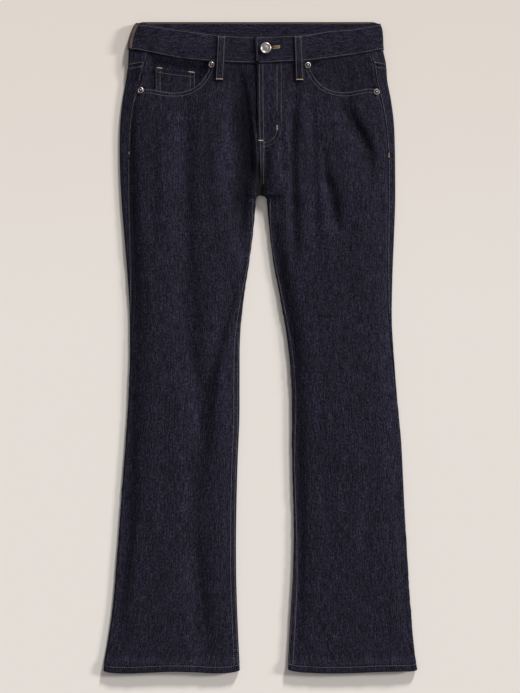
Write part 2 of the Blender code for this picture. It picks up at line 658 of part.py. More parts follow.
def facing_drop(side, down, around):
    """How far a facing lies under the front: not at all at the seams that it is sewn into."""
    from_seam = around - seam_at(side, down) - SEAM
    from_band = down - band_edge(side, around, "bottom")
    from_scoop = outer_edge(side, down) + ARC_EXTRA - around - SCOOP_START[side]
    sinks = FACING_SINKS
    rise = (1 - ramp(from_band / sinks["band"])) * ramp((from_scoop - sinks["from"]) / sinks["scoop"])
    return FACING_DROP[side] * ramp(from_seam / sinks["side"]) * (1 - rise)


def facing(side):
    """The denim behind the hand pocket's opening."""
    down_share, share = grid_shares("pocket_facing")
    _, bottom = scoop_line(side, 1 - share, FACING_EDGE, FACING_INSET)
    start = SCOOP_START[side] - FACING_INSET
    downs = bottom + 0 * down_share
    for _ in range(3):
        first = seam_at(side, downs) + SEAM
        last = outer_edge(side, downs) + ARC_EXTRA - start
        arounds = first + (last - first) * share
        top = band_edge(side, arounds[:1], "bottom") + SEAM
        downs = top + (bottom - top) * down_share
    drop = facing_drop(side, downs, arounds)
    outer = skin(side, downs, arounds, -drop)
    inner = skin(side, downs, arounds, -drop - CLOTH)
    return wall(f"pocket_facing_{SIDE_NAME[side]}", outer, inner)


def coin_pocket():
    """The small pocket on the right facing, which goes on down behind the front."""
    shape = COIN_POCKET
    down_share, share = grid_shares("coin_pocket")
    reach = shape["outer"] + (shape["inner"] - shape["outer"]) * share
    top = shape["top"] + (shape["inner top"] - shape["top"]) * share
    downs = top + (shape["bottom"] - top) * down_share
    arounds = outer_edge(RIGHT, downs) + ARC_EXTRA - reach
    return cloth("coin_pocket", RIGHT, downs, arounds, COIN_POCKET_OUT)


def back_pocket(side):
    """A plain patch pocket with a pointed lower edge, moved out from the back's own skin."""
    shape = BACK_POCKET
    down_share, share = grid_shares("back_pocket")
    inner = shape["inner"] + shape["taper"] * down_share
    outer = shape["outer"] - shape["taper"] * down_share
    reach = outer + (inner - outer) * share
    point = shape["point"] * (1 - np.abs(2 * share - 1))
    top = shape["top"] + shape["slope"] * (reach - shape["inner"])
    downs = top + (shape["sides"] + point) * down_share
    arounds = around_at(side, downs, side * reach, front=False)
    name = f"back_pocket_{SIDE_NAME[side]}"
    return cloth(name, side, downs, arounds, (ON_TOP, ON_TOP + CLOTH), front=False)


def belt_loop(name, side, across, down, to_across, to_down, front):
    """A narrow band that stands off the waistband and is tacked down below it."""
    down_share, share = grid_shares("belt_loop")
    sides = (0.5 - share) * LOOP_WIDTH
    downs = down + (to_down - down) * down_share + 0 * sides
    places = across + (to_across - across) * down_share + side * sides
    arounds = around_at(side, downs, places, front)
    below = downs - band_edge(side, arounds, "bottom")
    off = LOOP_GAP + BAND_PROUD * (1 - ramp((below - LOOP_STEP[0]) / LOOP_STEP[1]))
    outer = skin(side, downs, arounds, off + LOOP_CLOTH, front)
    inner = skin(side, downs, arounds, off, front)
    return wall(name, outer, inner)


def fly_shield():
    """The guard behind the zip, level with the right front."""
    shape = FLY_SHIELD
    down_share, share = grid_shares("fly_shield")
    downs = shape["top"] + (shape["bottom"] - shape["top"]) * down_share + 0 * share
    start = fly_edge(downs) + SEAM / 2
    across = start + (shape["width"] - shape["taper"] * down_share**3 - start) * share
    return cloth("fly_shield", RIGHT, downs, around_at(RIGHT, downs, across))


def fly_zip():
    """The closed zip, a plain strip between the left front and the guard."""
    shape = FLY_ZIP
    down_share, share = grid_shares("fly_zip")
    downs = shape["top"] + (shape["bottom"] - shape["top"]) * down_share + 0 * share
    across = shape["from"] + shape["width"] * share + 0 * downs
    return cloth("fly_zip", LEFT, downs, around_at(LEFT, downs, across), FLY_ZIP_OUT)


def waist_patch():
    """A plain patch on the right back of the waistband, which reaches round the side fold."""
    rows, columns = GRIDS["waist_patch"]
    row = shared_out(PATCH["to"], PATCH["from"], NO_FOLD, columns)
    top = band_edge(RIGHT, row, "top") + PATCH["margin"]
    bottom = band_edge(RIGHT, row, "bottom") - PATCH["margin"]
    downs = top + (bottom - top) * np.linspace(0, 1, rows)[:, None]
    arounds = np.repeat(row[None], rows, axis=0)
    low = BAND_PROUD + 2 * ON_TOP
    return cloth("waist_patch", RIGHT, downs, arounds, (low, low + PATCH["thick"]), look=LEATHER)


def turned(name, profile, place, normal, steps):
    """A round piece from its profile of radius and height, both ends on its axis."""
    bm = bmesh.new()
    points = [bm.verts.new((r * MM, 0, h * MM)) for r, h in profile]
    edges = [bm.edges.new(pair) for pair in zip(points, points[1:])]
    bmesh.ops.spin(
        bm, geom=points + edges, cent=(0, 0, 0), axis=(0, 0, 1), angle=2 * math.pi,
        steps=steps, use_duplicate=False,
    )
    bmesh.ops.remove_doubles(bm, verts=bm.verts, dist=0.00001)
    made = add_object(name, bm, METAL)
    made.location = Vector(place) * MM
    made.rotation_euler = Vector((0, 0, 1)).rotation_difference(Vector(normal)).to_euler()
    return made


def surface_at(side, across, down, out):
    """A place on the front's skin and the direction it faces."""
    around = around_at(side, down, across)
    low = skin(side, down, around, 0.0)
    high = skin(side, down, around, 1.0)
    return low + (high - low) * out, high - low


def waist_button():
    """A shank button, through the buttonhole and down to the right waistband."""
    place, _ = surface_at(LEFT, *BUTTON_AT, BAND_PROUD)
    root, _ = surface_at(RIGHT, *BUTTON_AT, BAND_PROUD)
    base = 0.9
    foot = root[2] - place[2] + 0.35
    r, h = BUTTON_RADIUS, BUTTON_HEIGHT
    profile = [
        (0, foot), (SHANK_RADIUS, foot), (SHANK_RADIUS, base), (r - 0.9, base),
        (r, base + 0.7), (r, base + h - 0.8), (r - 0.7, base + h), (r - 1.7, base + h - 0.1),
        (r - 2.4, base + h - 0.9), (2.6, base + h - 0.9), (1.6, base + h - 0.4), (0, base + h - 0.3),
    ]
    return turned("waist_button", profile, place, (0, 0, 1), 24)


def rivet(name, side, across, down):
    """A small ring with a nipple in its middle."""
    place, normal = surface_at(side, across, down, 0.4)
    r = RIVET_RADIUS
    profile = [
        (0, 0), (r, 0), (r, 0.5), (r - 0.9, 1.2), (r - 2.1, 0.5), (1.5, 0.5), (1.1, 1.4), (0, 1.7),
    ]
    return turned(name, profile, place, normal, 16)


def main():
    for old in list(bpy.data.objects):
        bpy.data.objects.remove(old, do_unlink=True)
    for side in (RIGHT, LEFT):
        front_panel(side)
        back_panel(side)
        yoke(side)
        front_band(side)
        facing(side)
        back_pocket(side)
    back_band()
    coin_pocket()
    fly_shield()
    fly_zip()
    waist_patch()
    for name, (side, *route) in FRONT_LOOPS.items():
        belt_loop(name, side, *route, front=True)
    for name, (side, *route) in BACK_LOOPS.items():
        belt_loop(name, side, *route, front=False)
    waist_button()
    for name, (side, across, down) in RIVETS.items():
        rivet(name, side, across, down)


main()
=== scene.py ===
"""Bootcut jeans, laid flat and face up: cloth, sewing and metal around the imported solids.

X runs to the wearer's left, Y to the waist and Z up from the surface that the jeans lie on.
Sizes are in millimetres and become metres in the meshes. A place on the cloth is given by how far
it is down from the back waist edge, and how far it is around from the side fold: positive over the
front, negative over the back. "Right" and "left" are the wearer's. The cloth's form is worked out
as in the solids, with finer creases, seams and stitches added.
"""

import math

import bpy
import numpy as np
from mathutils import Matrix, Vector


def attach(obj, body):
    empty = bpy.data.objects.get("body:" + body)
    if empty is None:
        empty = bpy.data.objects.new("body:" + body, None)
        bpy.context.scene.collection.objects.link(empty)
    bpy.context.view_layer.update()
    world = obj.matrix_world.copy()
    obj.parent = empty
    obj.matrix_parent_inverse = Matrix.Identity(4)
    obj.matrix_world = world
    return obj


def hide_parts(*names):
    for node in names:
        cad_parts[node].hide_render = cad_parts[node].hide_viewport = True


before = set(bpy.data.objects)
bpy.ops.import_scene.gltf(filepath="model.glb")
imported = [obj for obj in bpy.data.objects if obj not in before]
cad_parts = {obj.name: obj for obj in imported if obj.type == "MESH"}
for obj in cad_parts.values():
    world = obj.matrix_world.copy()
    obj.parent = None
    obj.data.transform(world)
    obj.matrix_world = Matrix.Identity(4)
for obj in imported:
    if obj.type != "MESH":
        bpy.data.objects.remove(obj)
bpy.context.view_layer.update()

MM = 0.001
RIGHT, LEFT = -1, 1
SIDE_NAME = {RIGHT: "right", LEFT: "left"}

# ---- Sizes of the garment, as in its solids ----

LENGTH = 1050.0  # back waist edge to hem
CLOTH = 1.3  # one layer of denim
BAND_PROUD = 1.3  # the waistband's second layer stands out by this much
HEM_CLOTH = 2.4
HEM_DEPTH = 14.0
SEAM = 0.3  # between pieces that are sewn edge to edge
LAYER = 0.5  # between layers that lie on each other
ON_TOP = 0.3  # under a piece that is sewn on
LOOP_CLOTH = 1.8
LOOP_GAP = 1.0  # behind the belt loops
FOLD_RADIUS = 3.1  # of the cloth at the side folds
CROTCH = 279.5
CROTCH_ARCH = 6.0

# Distance of the outer side folds from the centre line.
OUTER = {
    "down": (0, 10, 26, 45, 68, 93, 126, 158, 206, 250, 287, 351, 415, 480, 544, 609, 673, 737,
             802, 866, 931, 995, 1034, 1050),
    RIGHT: (198.5, 203.5, 209.5, 212.3, 213.5, 216.9, 222.5, 226, 227.2, 226.3, 224.3, 219.3, 214,
            210.8, 211.1, 213.2, 217, 221.9, 226.7, 231.7, 236.8, 245.4, 252.1, 252.9),
    LEFT: (190.5, 195, 196.4, 197.8, 202.5, 204.5, 210.7, 214.9, 217, 217.5, 217.5, 215.3, 212.8,
           211.9, 215.6, 220.7, 226.7, 230.4, 233.6, 237.3, 241.3, 246.5, 251.2, 253.4),
}
# Distance of the legs' inner folds from the centre line.
INNER = {
    "down": (280, 303, 335, 383, 448, 512, 576, 641, 705, 770, 834, 898, 963, 1034, 1050),
    RIGHT: (6.3, 8.9, 11.8, 18.2, 27.4, 33, 33.7, 34, 36.7, 38.5, 39.4, 39, 37, 33.6, 32.6),
    LEFT: (9.8, 11.8, 15, 20.6, 32.8, 43.3, 49.3, 51, 51.3, 53.1, 54.1, 51.7, 48, 44.3, 43.6),
}
# How far the side seams lie around from the side folds, on the front where positive.
SIDE_SEAM = {
    "down": (45, 68, 93, 126, 206, 287, 367, 440, 500, 560, 640, 760, 1050),
    RIGHT: (34, 28.5, 25, 22.4, 19, 15.5, 10.6, 6.5, 3, 0, -2.5, -3.5, -3.5),
    LEFT: (24, 22, 19.5, 18, 14, 13.5, 11.5, 8.5, 6, 4, 2, 0, -1),
}
# How far the inseams lie from the inner folds, on the front where positive.
INSEAM = {
    "down": (280, 310, 415, 470, 530, 600, 680, 760, 830, 900, 1050),
    RIGHT: (0, -3, -3.5, 0, 2.5, 3, 3, 3, 3, 2.5, 2.5),
    LEFT: (0, -3, -3.5, -2.5, -0.5, 0.5, -2, -3, -2, 1, 2),
}
# The front waistband's edges, by the place across the garment.
BAND_FRONT = {
    "across": (-200, -170, -122, -74, -26, 0, 48, 72, 112, 152, 192),
    "top": (2, 6, 13.5, 19.5, 23.3, 23.8, 21.9, 20.3, 13.8, 10.5, 3),
    "bottom": (45.6, 52, 60.7, 64.8, 67, 67.4, 65, 64, 59.1, 53.6, 45.8),
}
BAND_BACK_TOP = 0.0
BAND_BACK_BOTTOM = 44.0
# The hand pocket's edge: its share of the way from the waistband to the side seam, and how far
# down it is from the waistband's seam at its inner end.
SCOOP = {
    "share": (0, 0.015, 0.06, 0.14, 0.24, 0.36, 0.5, 0.65, 0.85, 1),
    "depth": (0, 9, 20.5, 33, 42, 47.3, 49, 47.5, 43.7, 44.5),
}
SCOOP_START = {RIGHT: 81.5, LEFT: 78.2}
FACING_EDGE = {
    "share": (0, 0.1, 0.25, 0.4, 0.6, 0.78, 0.87, 0.93, 1),
    "depth": (34, 44, 57, 62, 61, 55, 46, 41.4, 42.9),
}
FACING_INSET = 12.0  # how far the facing goes on behind the front, inside the scoop's start
FACING_DROP = {RIGHT: 3.7, LEFT: 2.0}  # from the front's skin down to the facing's
COIN_POCKET_OUT = (-3.25, -1.95)
COIN_POCKET = {"outer": 169.5, "inner": 105.3, "top": 73.3, "inner top": 81.3, "bottom": 121.0}
# How far the hem's edge rises above its lowest line, by the share of the way in from the side.
HEM_RISE = {
    "share": (0, 0.04, 0.12, 0.3, 0.5, 0.66, 0.82, 0.93, 1),
    RIGHT: (4, 1.6, 0.1, 0.9, 2.7, 1.9, 0.2, 1.4, 5),
    LEFT: (6, 3.6, 3.2, 2.3, 0.5, 0, 1, 3, 6.5),
}
# The cloth's height over the layers beneath it, and at the legs' side folds and inner folds.
CROWN = {"down": (0, 60, 160, 900, 1050), "height": (1.8, 3.3, 6.0, 5.8, 3.0)}
SIDE_LOFT = {"down": (0, 90, 180, 1050), RIGHT: (1.2, 1.2, 1.0, 1.0), LEFT: (1.4, 1.8, 1.6, 1.6)}
INNER_LOFT = {"down": (255, 290, 340), RIGHT: (4.0, 3.1, 2.0), LEFT: (4.0, 3.1, 2.1)}
LEAST_LOFT = 0.9
EDGE_REACH = 20.0
CROTCH_HOLLOW = {"from": 216.0, "to": 268.0, "end": 340.0, "reach": 9.0, "height": 2.9}
FOLD_FADE = 0.3  # the share of a fold's length over which it swells, and over which it fades
DIP_FROM = 232.0  # from here down to the crotch, the front and back come together
LEG_OPENS = (CROTCH - 10, 50.0)  # from there, over this length, the folds fade at the inner edges
FOLD_CLEAR = 7.0  # the front's folds fade this near to the legs' edges
FLY_EDGE = {"down": (60, 200, 260), "across": (-5, -3, 0)}
# The layers behind the fly: their height, and where they end, as a start and a length.
FLY_LAYERS, FLY_SIDE, FLY_BOTTOM = 3.2, (38.0, 40.0), (140.0, 65.0)
BAND_LAP_EDGE = -8.0  # where the left waistband ends on top of the right one
BAND_UNDERLAP_END = 36.0
BAND_JOINT = -8.0  # the waistband's front and back meet just behind the side fold
YOKE_SIDE, YOKE_CENTRE = 69.0, 106.0
BUTTON_AT = (8.2, 43.5)  # across, down
BUTTON_RADIUS, BUTTON_BASE, BUTTON_TOP = 8.7, 0.9, 3.5
RIVET_RADIUS = 4.75
BUTTONHOLE = {"from": 5.6, "to": 30.5}
RIVETS = {
    "rivet_right_inner": (RIGHT, -78.7, 69.5),
    "rivet_right_outer": (RIGHT, -193.0, 110.5),
    "rivet_left_inner": (LEFT, 76.2, 70.5),
    "rivet_left_outer": (LEFT, 187.1, 113.0),
}
LOOP_WIDTH = 13.0
# Belt loops: across and down at the top, and at the bottom.
FRONT_LOOPS = {
    "belt_loop_front_right": (RIGHT, -62.6, 22.5, -66.2, 94.5),
    "belt_loop_front_left": (LEFT, 59.8, 22.5, 63.0, 95.5),
}
BACK_LOOPS = {
    "belt_loop_back_right": (RIGHT, -138.0, 1.5, -140.0, 74.0),
    "belt_loop_back_centre": (LEFT, 0.0, 1.5, 0.0, 74.0),
    "belt_loop_back_left": (LEFT, 138.0, 1.5, 140.0, 74.0),
}
BACK_POCKET = {"inner": 38.0, "outer": 172.0, "top": 122.0, "slope": -0.16, "sides": 118.0,
               "point": 16.0, "taper": 9.0}
PATCH = {"from": -50.0, "to": 6.6, "thick": 1.0, "margin": 2.5}
BELOW_BAND = 69.5  # down, where the pieces behind the fly and its stitching start
FLY_SHIELD = {"top": BELOW_BAND, "bottom": 163.0, "width": 34.0, "taper": 12.0}
FLY_ZIP = {"top": 70.5, "bottom": 140.0, "from": 3.0, "width": 23.0}
FLY_ZIP_OUT = (-2.75, -2.35)
ZIP_TEETH = ((12.2, 14.9, 0.0), (14.1, 16.8, 0.8))  # from, to and how far down, for each row
HEM_RISE_FROM = 900.0  # further up, the rows run straight across
# The facing sinks away from the front over these distances from its edges.
FACING_SINKS = {"side": 13.0, "band": 14.0, "scoop": (6.0, 12.0)}
LOOP_STEP = (2.0, 12.0)  # below the waistband, a loop comes down to the cloth over this stretch
LOOP_END, LOOP_PRESSED = 6.0, 0.7  # the length of a loop's sewn ends, and how far they sink
BAND_BENDS = (12.0, 42.0)
BAND_MIDDLE = 45.0  # down, where the waistband's places across are measured
NO_FOLD = 400.0  # further around than a waistband reaches

# ---- Folds and creases ----

# The largest folds of the front: a bent line on it, the widths of its flanks on the wearer's right
# and left, and how far it is up or down.
FOLDS = (
    (((-36, 62), (-30, 105), (-23, 150), (-17, 195), (-15, 235), (-20, 290)), 16, 6, -8.0),
    (((-40, 90), (-36, 180), (-38, 250), (-46, 345)), 17, 13, -6.5),
    (((-22, 235), (-29, 300), (-40, 392)), 12, 8, -5.0),
    (((-12, 150), (-9, 205), (-8, 250)), 5, 6, 1.5),
    (((-209, 115), (-209, 206), (-208, 290), (-206, 400), (-205, 540)), 9, 7, -5.6),
    (((-206, 560), (-209, 690), (-213, 805), (-222, 880), (-232, 1015)), 12, 9, -4.6),
    (((-121, 60), (-120, 206), (-121, 318), (-117, 480)), 18, 15, -4.6),
    (((-122, 330), (-112, 530), (-100, 600), (-98, 660), (-106, 735), (-109, 900)), 22, 17, -5.4),
    (((-110, 800), (-98, 930), (-88, 1060)), 18, 14, -4.8),
    (((-33, 385), (-48, 448), (-62, 500), (-75, 560), (-87, 620), (-94, 700)), 18, 8, -5.6),
    (((-152, 95), (-154, 220), (-150, 380)), 20, 20, 1.6),
    (((-74, 88), (-68, 190), (-74, 330)), 13, 12, 1.8),
    (((54, 82), (52, 160), (51, 230), (53, 300), (57, 420)), 8, 7, -5.4),
    (((66, 66), (68, 120), (70, 200)), 6, 8, 1.6),
    (((37, 180), (35, 230), (38, 268)), 6, 7, -3.6),
    (((82, 100), (86, 230), (92, 420)), 9, 8, -2.8),
    (((102, 195), (103, 235), (108, 285)), 7, 6, -2.6),
    (((150, 56), (139, 112), (139, 140), (149, 163), (164, 185), (175, 208), (180, 290)),
     15, 9, -6.0),
    (((109, 235), (116, 285), (127, 350)), 11, 8, -5.2),
    (((18, 300), (30, 400), (43, 470), (53, 540), (56, 640)), 7, 9, -3.0),
    (((53, 560), (59, 673), (60, 760), (61, 850), (61, 940), (58, 1045)), 6, 9, -3.4),
    (((9, 196), (9, 232), (8, 270)), 5, 6, -3.6),
    (((169, 280), (165, 370), (160, 470)), 18, 18, 1.6),
    (((140, 590), (147, 760), (152, 970)), 26, 26, 1.4),
)
# Shade painted into the cloth's colour down in the deepest folds: a bent line, its flanks and how
# dark it is.
PAINTED_FOLD_SHADES = (
    (((-30, 60), (-28, 110), (-23, 170), (-19, 225), (-26, 285), (-40, 380)), 19, 9, 0.62),
    (((-4, 214), (1, 255), (3, 300)), 7, 9, 1.1),
    (((134, 58), (133, 118), (146, 165), (168, 215), (176, 280)), 13, 10, 0.3),
    (((-208, 70), (-209, 206), (-206, 400)), 8, 6, 0.3),
)
# Smaller creases of the front.
CREASES = (
    # across, down, to across, to down, width, height
    (-176, 150, -172, 330, 5, -0.5), (-162, 205, -166, 395, 4, 0.45),
    (-128, 190, -120, 300, 5, -0.45), (-84, 120, -72, 230, 5, 0.5), (-70, 175, -64, 330, 4, -0.5),
    (-45, 250, -34, 420, 5, 0.55), (-30, 285, -28, 430, 4, -0.6), (-140, 330, -132, 470, 5, -0.4),
    (-110, 400, -104, 520, 4, 0.4), (-180, 420, -178, 560, 5, 0.45),
    (-60, 470, -50, 620, 4, -0.45), (-150, 560, -156, 720, 6, -0.4),
    (-112, 600, -106, 760, 5, 0.4), (-190, 640, -204, 860, 6, -0.5),
    (-60, 700, -62, 880, 5, 0.45), (-165, 800, -172, 960, 6, 0.4),
    (-100, 820, -104, 985, 5, -0.45), (-205, 900, -214, 1010, 5, 0.4), (48, 215, 52, 330, 4, 0.5),
    (70, 150, 76, 260, 4, -0.45), (100, 150, 108, 300, 5, -0.5), (125, 150, 139, 260, 5, 0.5),
    (158, 190, 166, 330, 5, 0.45), (192, 200, 196, 380, 5, -0.5), (145, 330, 138, 450, 5, -0.45),
    (84, 400, 92, 540, 5, -0.45), (110, 380, 112, 520, 6, 0.4), (180, 430, 176, 560, 5, -0.4),
    (100, 590, 104, 760, 6, -0.45), (128, 640, 126, 800, 5, 0.35), (196, 620, 206, 820, 6, -0.45),
    (168, 760, 176, 940, 6, -0.4), (86, 780, 84, 960, 5, 0.45), (118, 850, 122, 1000, 5, -0.4),
    (205, 880, 214, 1010, 5, 0.4),
    # Across the knees.
    (95, 478, 170, 486, 4, -0.35), (120, 505, 195, 498, 4, 0.35), (100, 528, 165, 534, 4, -0.3),
    (-160, 492, -90, 500, 4, -0.3), (-150, 520, -85, 514, 4, 0.3),
    # From the crotch outwards.
    (-16, 262, -62, 246, 5, 0.6), (-14, 275, -52, 292, 4, -0.5), (14, 258, 58, 240, 5, 0.55),
    (14, 274, 50, 290, 4, -0.5),
    # The pocket bags' edges behind the fronts.
    (-179, 158, -109, 158, 3, 0.5), (-109, 158, -84, 118, 3, 0.4), (175, 160, 112, 162, 3, 0.4),
)
# Creases of the back, pressed in from the underside.
BACK_CREASES = (
    (-120, 250, -128, 420, 7, 0.5), (-70, 260, -60, 380, 5, 0.4), (-175, 300, -168, 470, 7, 0.5),
    (-90, 440, -80, 600, 7, 0.45), (-150, 500, -146, 690, 6, 0.4), (-110, 640, -118, 860, 8, 0.5),
    (-70, 760, -64, 930, 6, 0.4), (-190, 720, -200, 940, 7, 0.45), (115, 255, 125, 420, 7, 0.5),
    (62, 270, 70, 380, 5, 0.4), (172, 300, 166, 480, 7, 0.45), (90, 460, 98, 610, 7, 0.45),
    (150, 520, 156, 700, 6, 0.4), (112, 660, 116, 880, 8, 0.5), (80, 780, 78, 950, 6, 0.4),
    (196, 740, 208, 930, 7, 0.45),
    # Behind the knees.
    (-175, 470, -95, 480, 5, 0.35), (90, 476, 170, 468, 5, 0.35),
)

ARC_EXTRA = (math.pi / 2 - 1) * FOLD_RADIUS
PROBE = 0.4  # step for the skin's slope
LATTICE = np.random.default_rng(7).standard_normal((256, 256))


def curve(at, knots, values):
    """A smooth curve through the values at the knots."""
    knots, values = np.array(knots, float), np.array(values, float)
    slopes = np.gradient(values, knots)
    at = np.clip(at, knots[0], knots[-1])
    cell = np.clip(np.searchsorted(knots, at) - 1, 0, len(knots) - 2)
    step = knots[cell + 1] - knots[cell]
    t = (at - knots[cell]) / step
    start = (1 + 2 * t) * (1 - t) ** 2 * values[cell] + t * (1 - t) ** 2 * step * slopes[cell]
    end = t * t * (3 - 2 * t) * values[cell + 1] - t * t * (1 - t) * step * slopes[cell + 1]
    return start + end


def ramp(x):
    """From 0 to 1 with soft ends."""
    t = np.clip(x, 0, 1)
    return t * t * (3 - 2 * t)


def noise(x, y, seed=0):
    """Smooth hills and hollows about 1 apart, always the same for a seed."""
    x, y = np.broadcast_arrays(np.asarray(x, float) + 31.7 * seed, np.asarray(y, float))
    i, j = np.floor(x).astype(int), np.floor(y).astype(int)
    u, v = ramp(x - i), ramp(y - j)
    i, j, i_next, j_next = i % 256, j % 256, (i + 1) % 256, (j + 1) % 256
    low = LATTICE[i, j] * (1 - u) + LATTICE[i_next, j] * u
    high = LATTICE[i, j_next] * (1 - u) + LATTICE[i_next, j_next] * u
    return low * (1 - v) + high * v


def outer_edge(side, down):
    return curve(down, OUTER["down"], OUTER[side])


def fly_edge(down):
    return curve(down, FLY_EDGE["down"], FLY_EDGE["across"])


def leg_opening(down):
    """0 above the crotch, and 1 below its small arch."""
    s = np.clip((down - CROTCH) / CROTCH_ARCH, 0, 1)
    return np.sqrt(1 - (1 - s) ** 2)


def inner_edge(side, down, front):
    """The leg's inner fold, or the centre seam above the crotch."""
    leg = curve(down, INNER["down"], INNER[side])
    seam = side * fly_edge(down) if front else 0.0
    return seam + (leg - seam) * leg_opening(down)


def crotch_dip(down):
    """How far the front and back have come together at the inner edge."""
    return ramp((down - DIP_FROM) / (CROTCH - DIP_FROM))


def girth(side, down, front):
    """From the side fold to the inner edge, along the cloth."""
    width = outer_edge(side, down) - inner_edge(side, down, front)
    return width + ARC_EXTRA * (1 + crotch_dip(down))


def round_fold(distance):
    """The way across and the share of the height at this distance along the cloth from a fold."""
    angle = np.clip(distance / FOLD_RADIUS, 0, math.pi / 2)
    across = np.where(
        distance < FOLD_RADIUS * math.pi / 2,
        FOLD_RADIUS * (1 - np.cos(angle)),
        distance - ARC_EXTRA,
    )
    return across, np.sin(angle)


# Where the back comes down to the surface, as a start and a length: below the waist's belt loops,
# below the back pockets, and beside them.
LIES = {"waist": (66, 36), "pockets": (272, 40), "beside": (4, 30)}


def faded(place, span):
    """From 0 to 1 over a span that is given as its start and its length."""
    return ramp((place - span[0]) / span[1])


def underside(side, across, down):
    """The back's height over the surface: it lies on the belt loops and the back pockets."""
    pockets = CLOTH + ON_TOP
    loops = BAND_PROUD + LOOP_GAP + LOOP_CLOTH - pockets
    beside = faded(side * across - BACK_POCKET["outer"], LIES["beside"])
    waist = 1 - faded(down, LIES["waist"])
    under_pockets = pockets * (1 - faded(down, LIES["pockets"])) * (1 - beside * (1 - waist))
    return loops * waist * (1 - 0.4 * beside) + under_pockets


def hem_extra(down):
    return (HEM_CLOTH - CLOTH) * faded(down, (LENGTH - HEM_DEPTH - 14, 14))


def run_heights(table, across, down, tail):
    """The sum of straight folds, each fading out past its ends."""
    total = np.zeros(np.broadcast(across, down).shape)
    for x1, d1, x2, d2, width, height in table:
        run = math.hypot(x2 - x1, d2 - d1)
        ux, ud = (x2 - x1) / run, (d2 - d1) / run
        along = (across - x1) * ux + (down - d1) * ud
        aside = (across - x1) * ud - (down - d1) * ux
        past = np.maximum(np.maximum(-along, along - run), 0) / tail
        total += height * np.exp(-(aside**2 + past**2) / width**2)
    return total


def fold_along(line, right, left, height, across, down):
    """The height of one fold, which swells and fades along a bent line."""
    line = np.array(line, float)
    reach = 3 * max(right, left)
    low, high = line.min(axis=0) - reach, line.max(axis=0) + reach
    close = (across > low[0]) & (across < high[0]) & (down > low[1]) & (down < high[1])
    run = np.diff(line, axis=0)
    length = np.linalg.norm(run, axis=1)
    offset = np.stack([across[close], down[close]], axis=1)[:, None] - line[:-1]
    t = np.clip((offset * run).sum(axis=2) / length**2, 0, 1)
    gaps = np.linalg.norm(offset - t[..., None] * run, axis=2)
    nearest = gaps.argmin(axis=1)
    each = np.arange(len(nearest))
    t, gap, offset, run = t[each, nearest], gaps[each, nearest], offset[each, nearest], run[nearest]
    before = np.concatenate([[0], np.cumsum(length)])[nearest]
    share = (before + t * length[nearest]) / length.sum()
    fade = ramp(share / FOLD_FADE) * ramp((1 - share) / FOLD_FADE)
    aside = offset[:, 0] * run[:, 1] - offset[:, 1] * run[:, 0]
    total = np.zeros(close.shape)
    total[close] = height * fade * np.exp(-((gap / np.where(aside < 0, right, left)) ** 2))
    return total


def fold_height(across, down):
    """Folds, creases and the cloth's own unevenness, on the front."""
    across, down = np.broadcast_arrays(across, down)
    wander = 5 * noise(0.012 * across, 0.011 * down, 3)
    total = sum(fold_along(*fold, across, down) for fold in FOLDS)
    total += run_heights(CREASES, across + wander, down, 5)
    total += 0.25 * noise(across / 15, down / 62, 1)
    return total + 0.12 * noise(across / 8 + down / 40, down / 17, 2)


def loft(side, across, down, from_side, from_inner):
    """How far the front stands off the back."""
    dip = crotch_dip(down)
    clear = 1 - np.exp(-((from_side / FOLD_CLEAR) ** 2))
    opened = faded(down, LEG_OPENS)
    clear *= (1 - opened * np.exp(-((from_inner / FOLD_CLEAR) ** 2)))
    crown = curve(down, CROWN["down"], CROWN["height"])
    at_side = curve(down, SIDE_LOFT["down"], SIDE_LOFT[side]) - crown
    at_inner = dip * (curve(down, INNER_LOFT["down"], INNER_LOFT[side]) - crown)
    raw = crown + at_side * np.exp(-((from_side / EDGE_REACH) ** 2))
    raw += at_inner * np.exp(-((from_inner / EDGE_REACH) ** 2))
    raw += fold_height(across, down) * clear
    hollow = CROTCH_HOLLOW
    depth = ramp((down - hollow["from"]) / (hollow["to"] - hollow["from"]))
    depth *= ramp((hollow["end"] - down) / (hollow["end"] - CROTCH))
    depth *= np.exp(-((from_inner / (hollow["reach"] * depth + 1)) ** 2))
    raw += (hollow["height"] - raw) * depth
    spare = raw - LEAST_LOFT
    return LEAST_LOFT + 0.5 * (spare + np.sqrt(spare**2 + 0.6))


# How the facing's layer starts and ends under the front, as a start and a length.
FACING_LIES = {"centre": (45, 22), "bottom": (128, 40), "seam": (-8, 16), "top": (5, 40)}


def layers_between(side, across, down):
    """The pocket facing, and on the left the fly, between the front and the back."""
    reach = side * across
    from_seam = outer_edge(side, down) + ARC_EXTRA - reach - seam_at(side, down)
    facing = faded(reach, FACING_LIES["centre"]) * (1 - faded(down, FACING_LIES["bottom"]))
    facing *= faded(from_seam, FACING_LIES["seam"])
    facing *= faded(down, FACING_LIES["top"])
    fly = np.zeros(np.broadcast(across, down).shape)
    if side == LEFT:
        fly = FLY_LAYERS * (1 - faded(across, FLY_SIDE)) * (1 - faded(down, FLY_BOTTOM))
    return FACING_DROP[side] * facing, fly


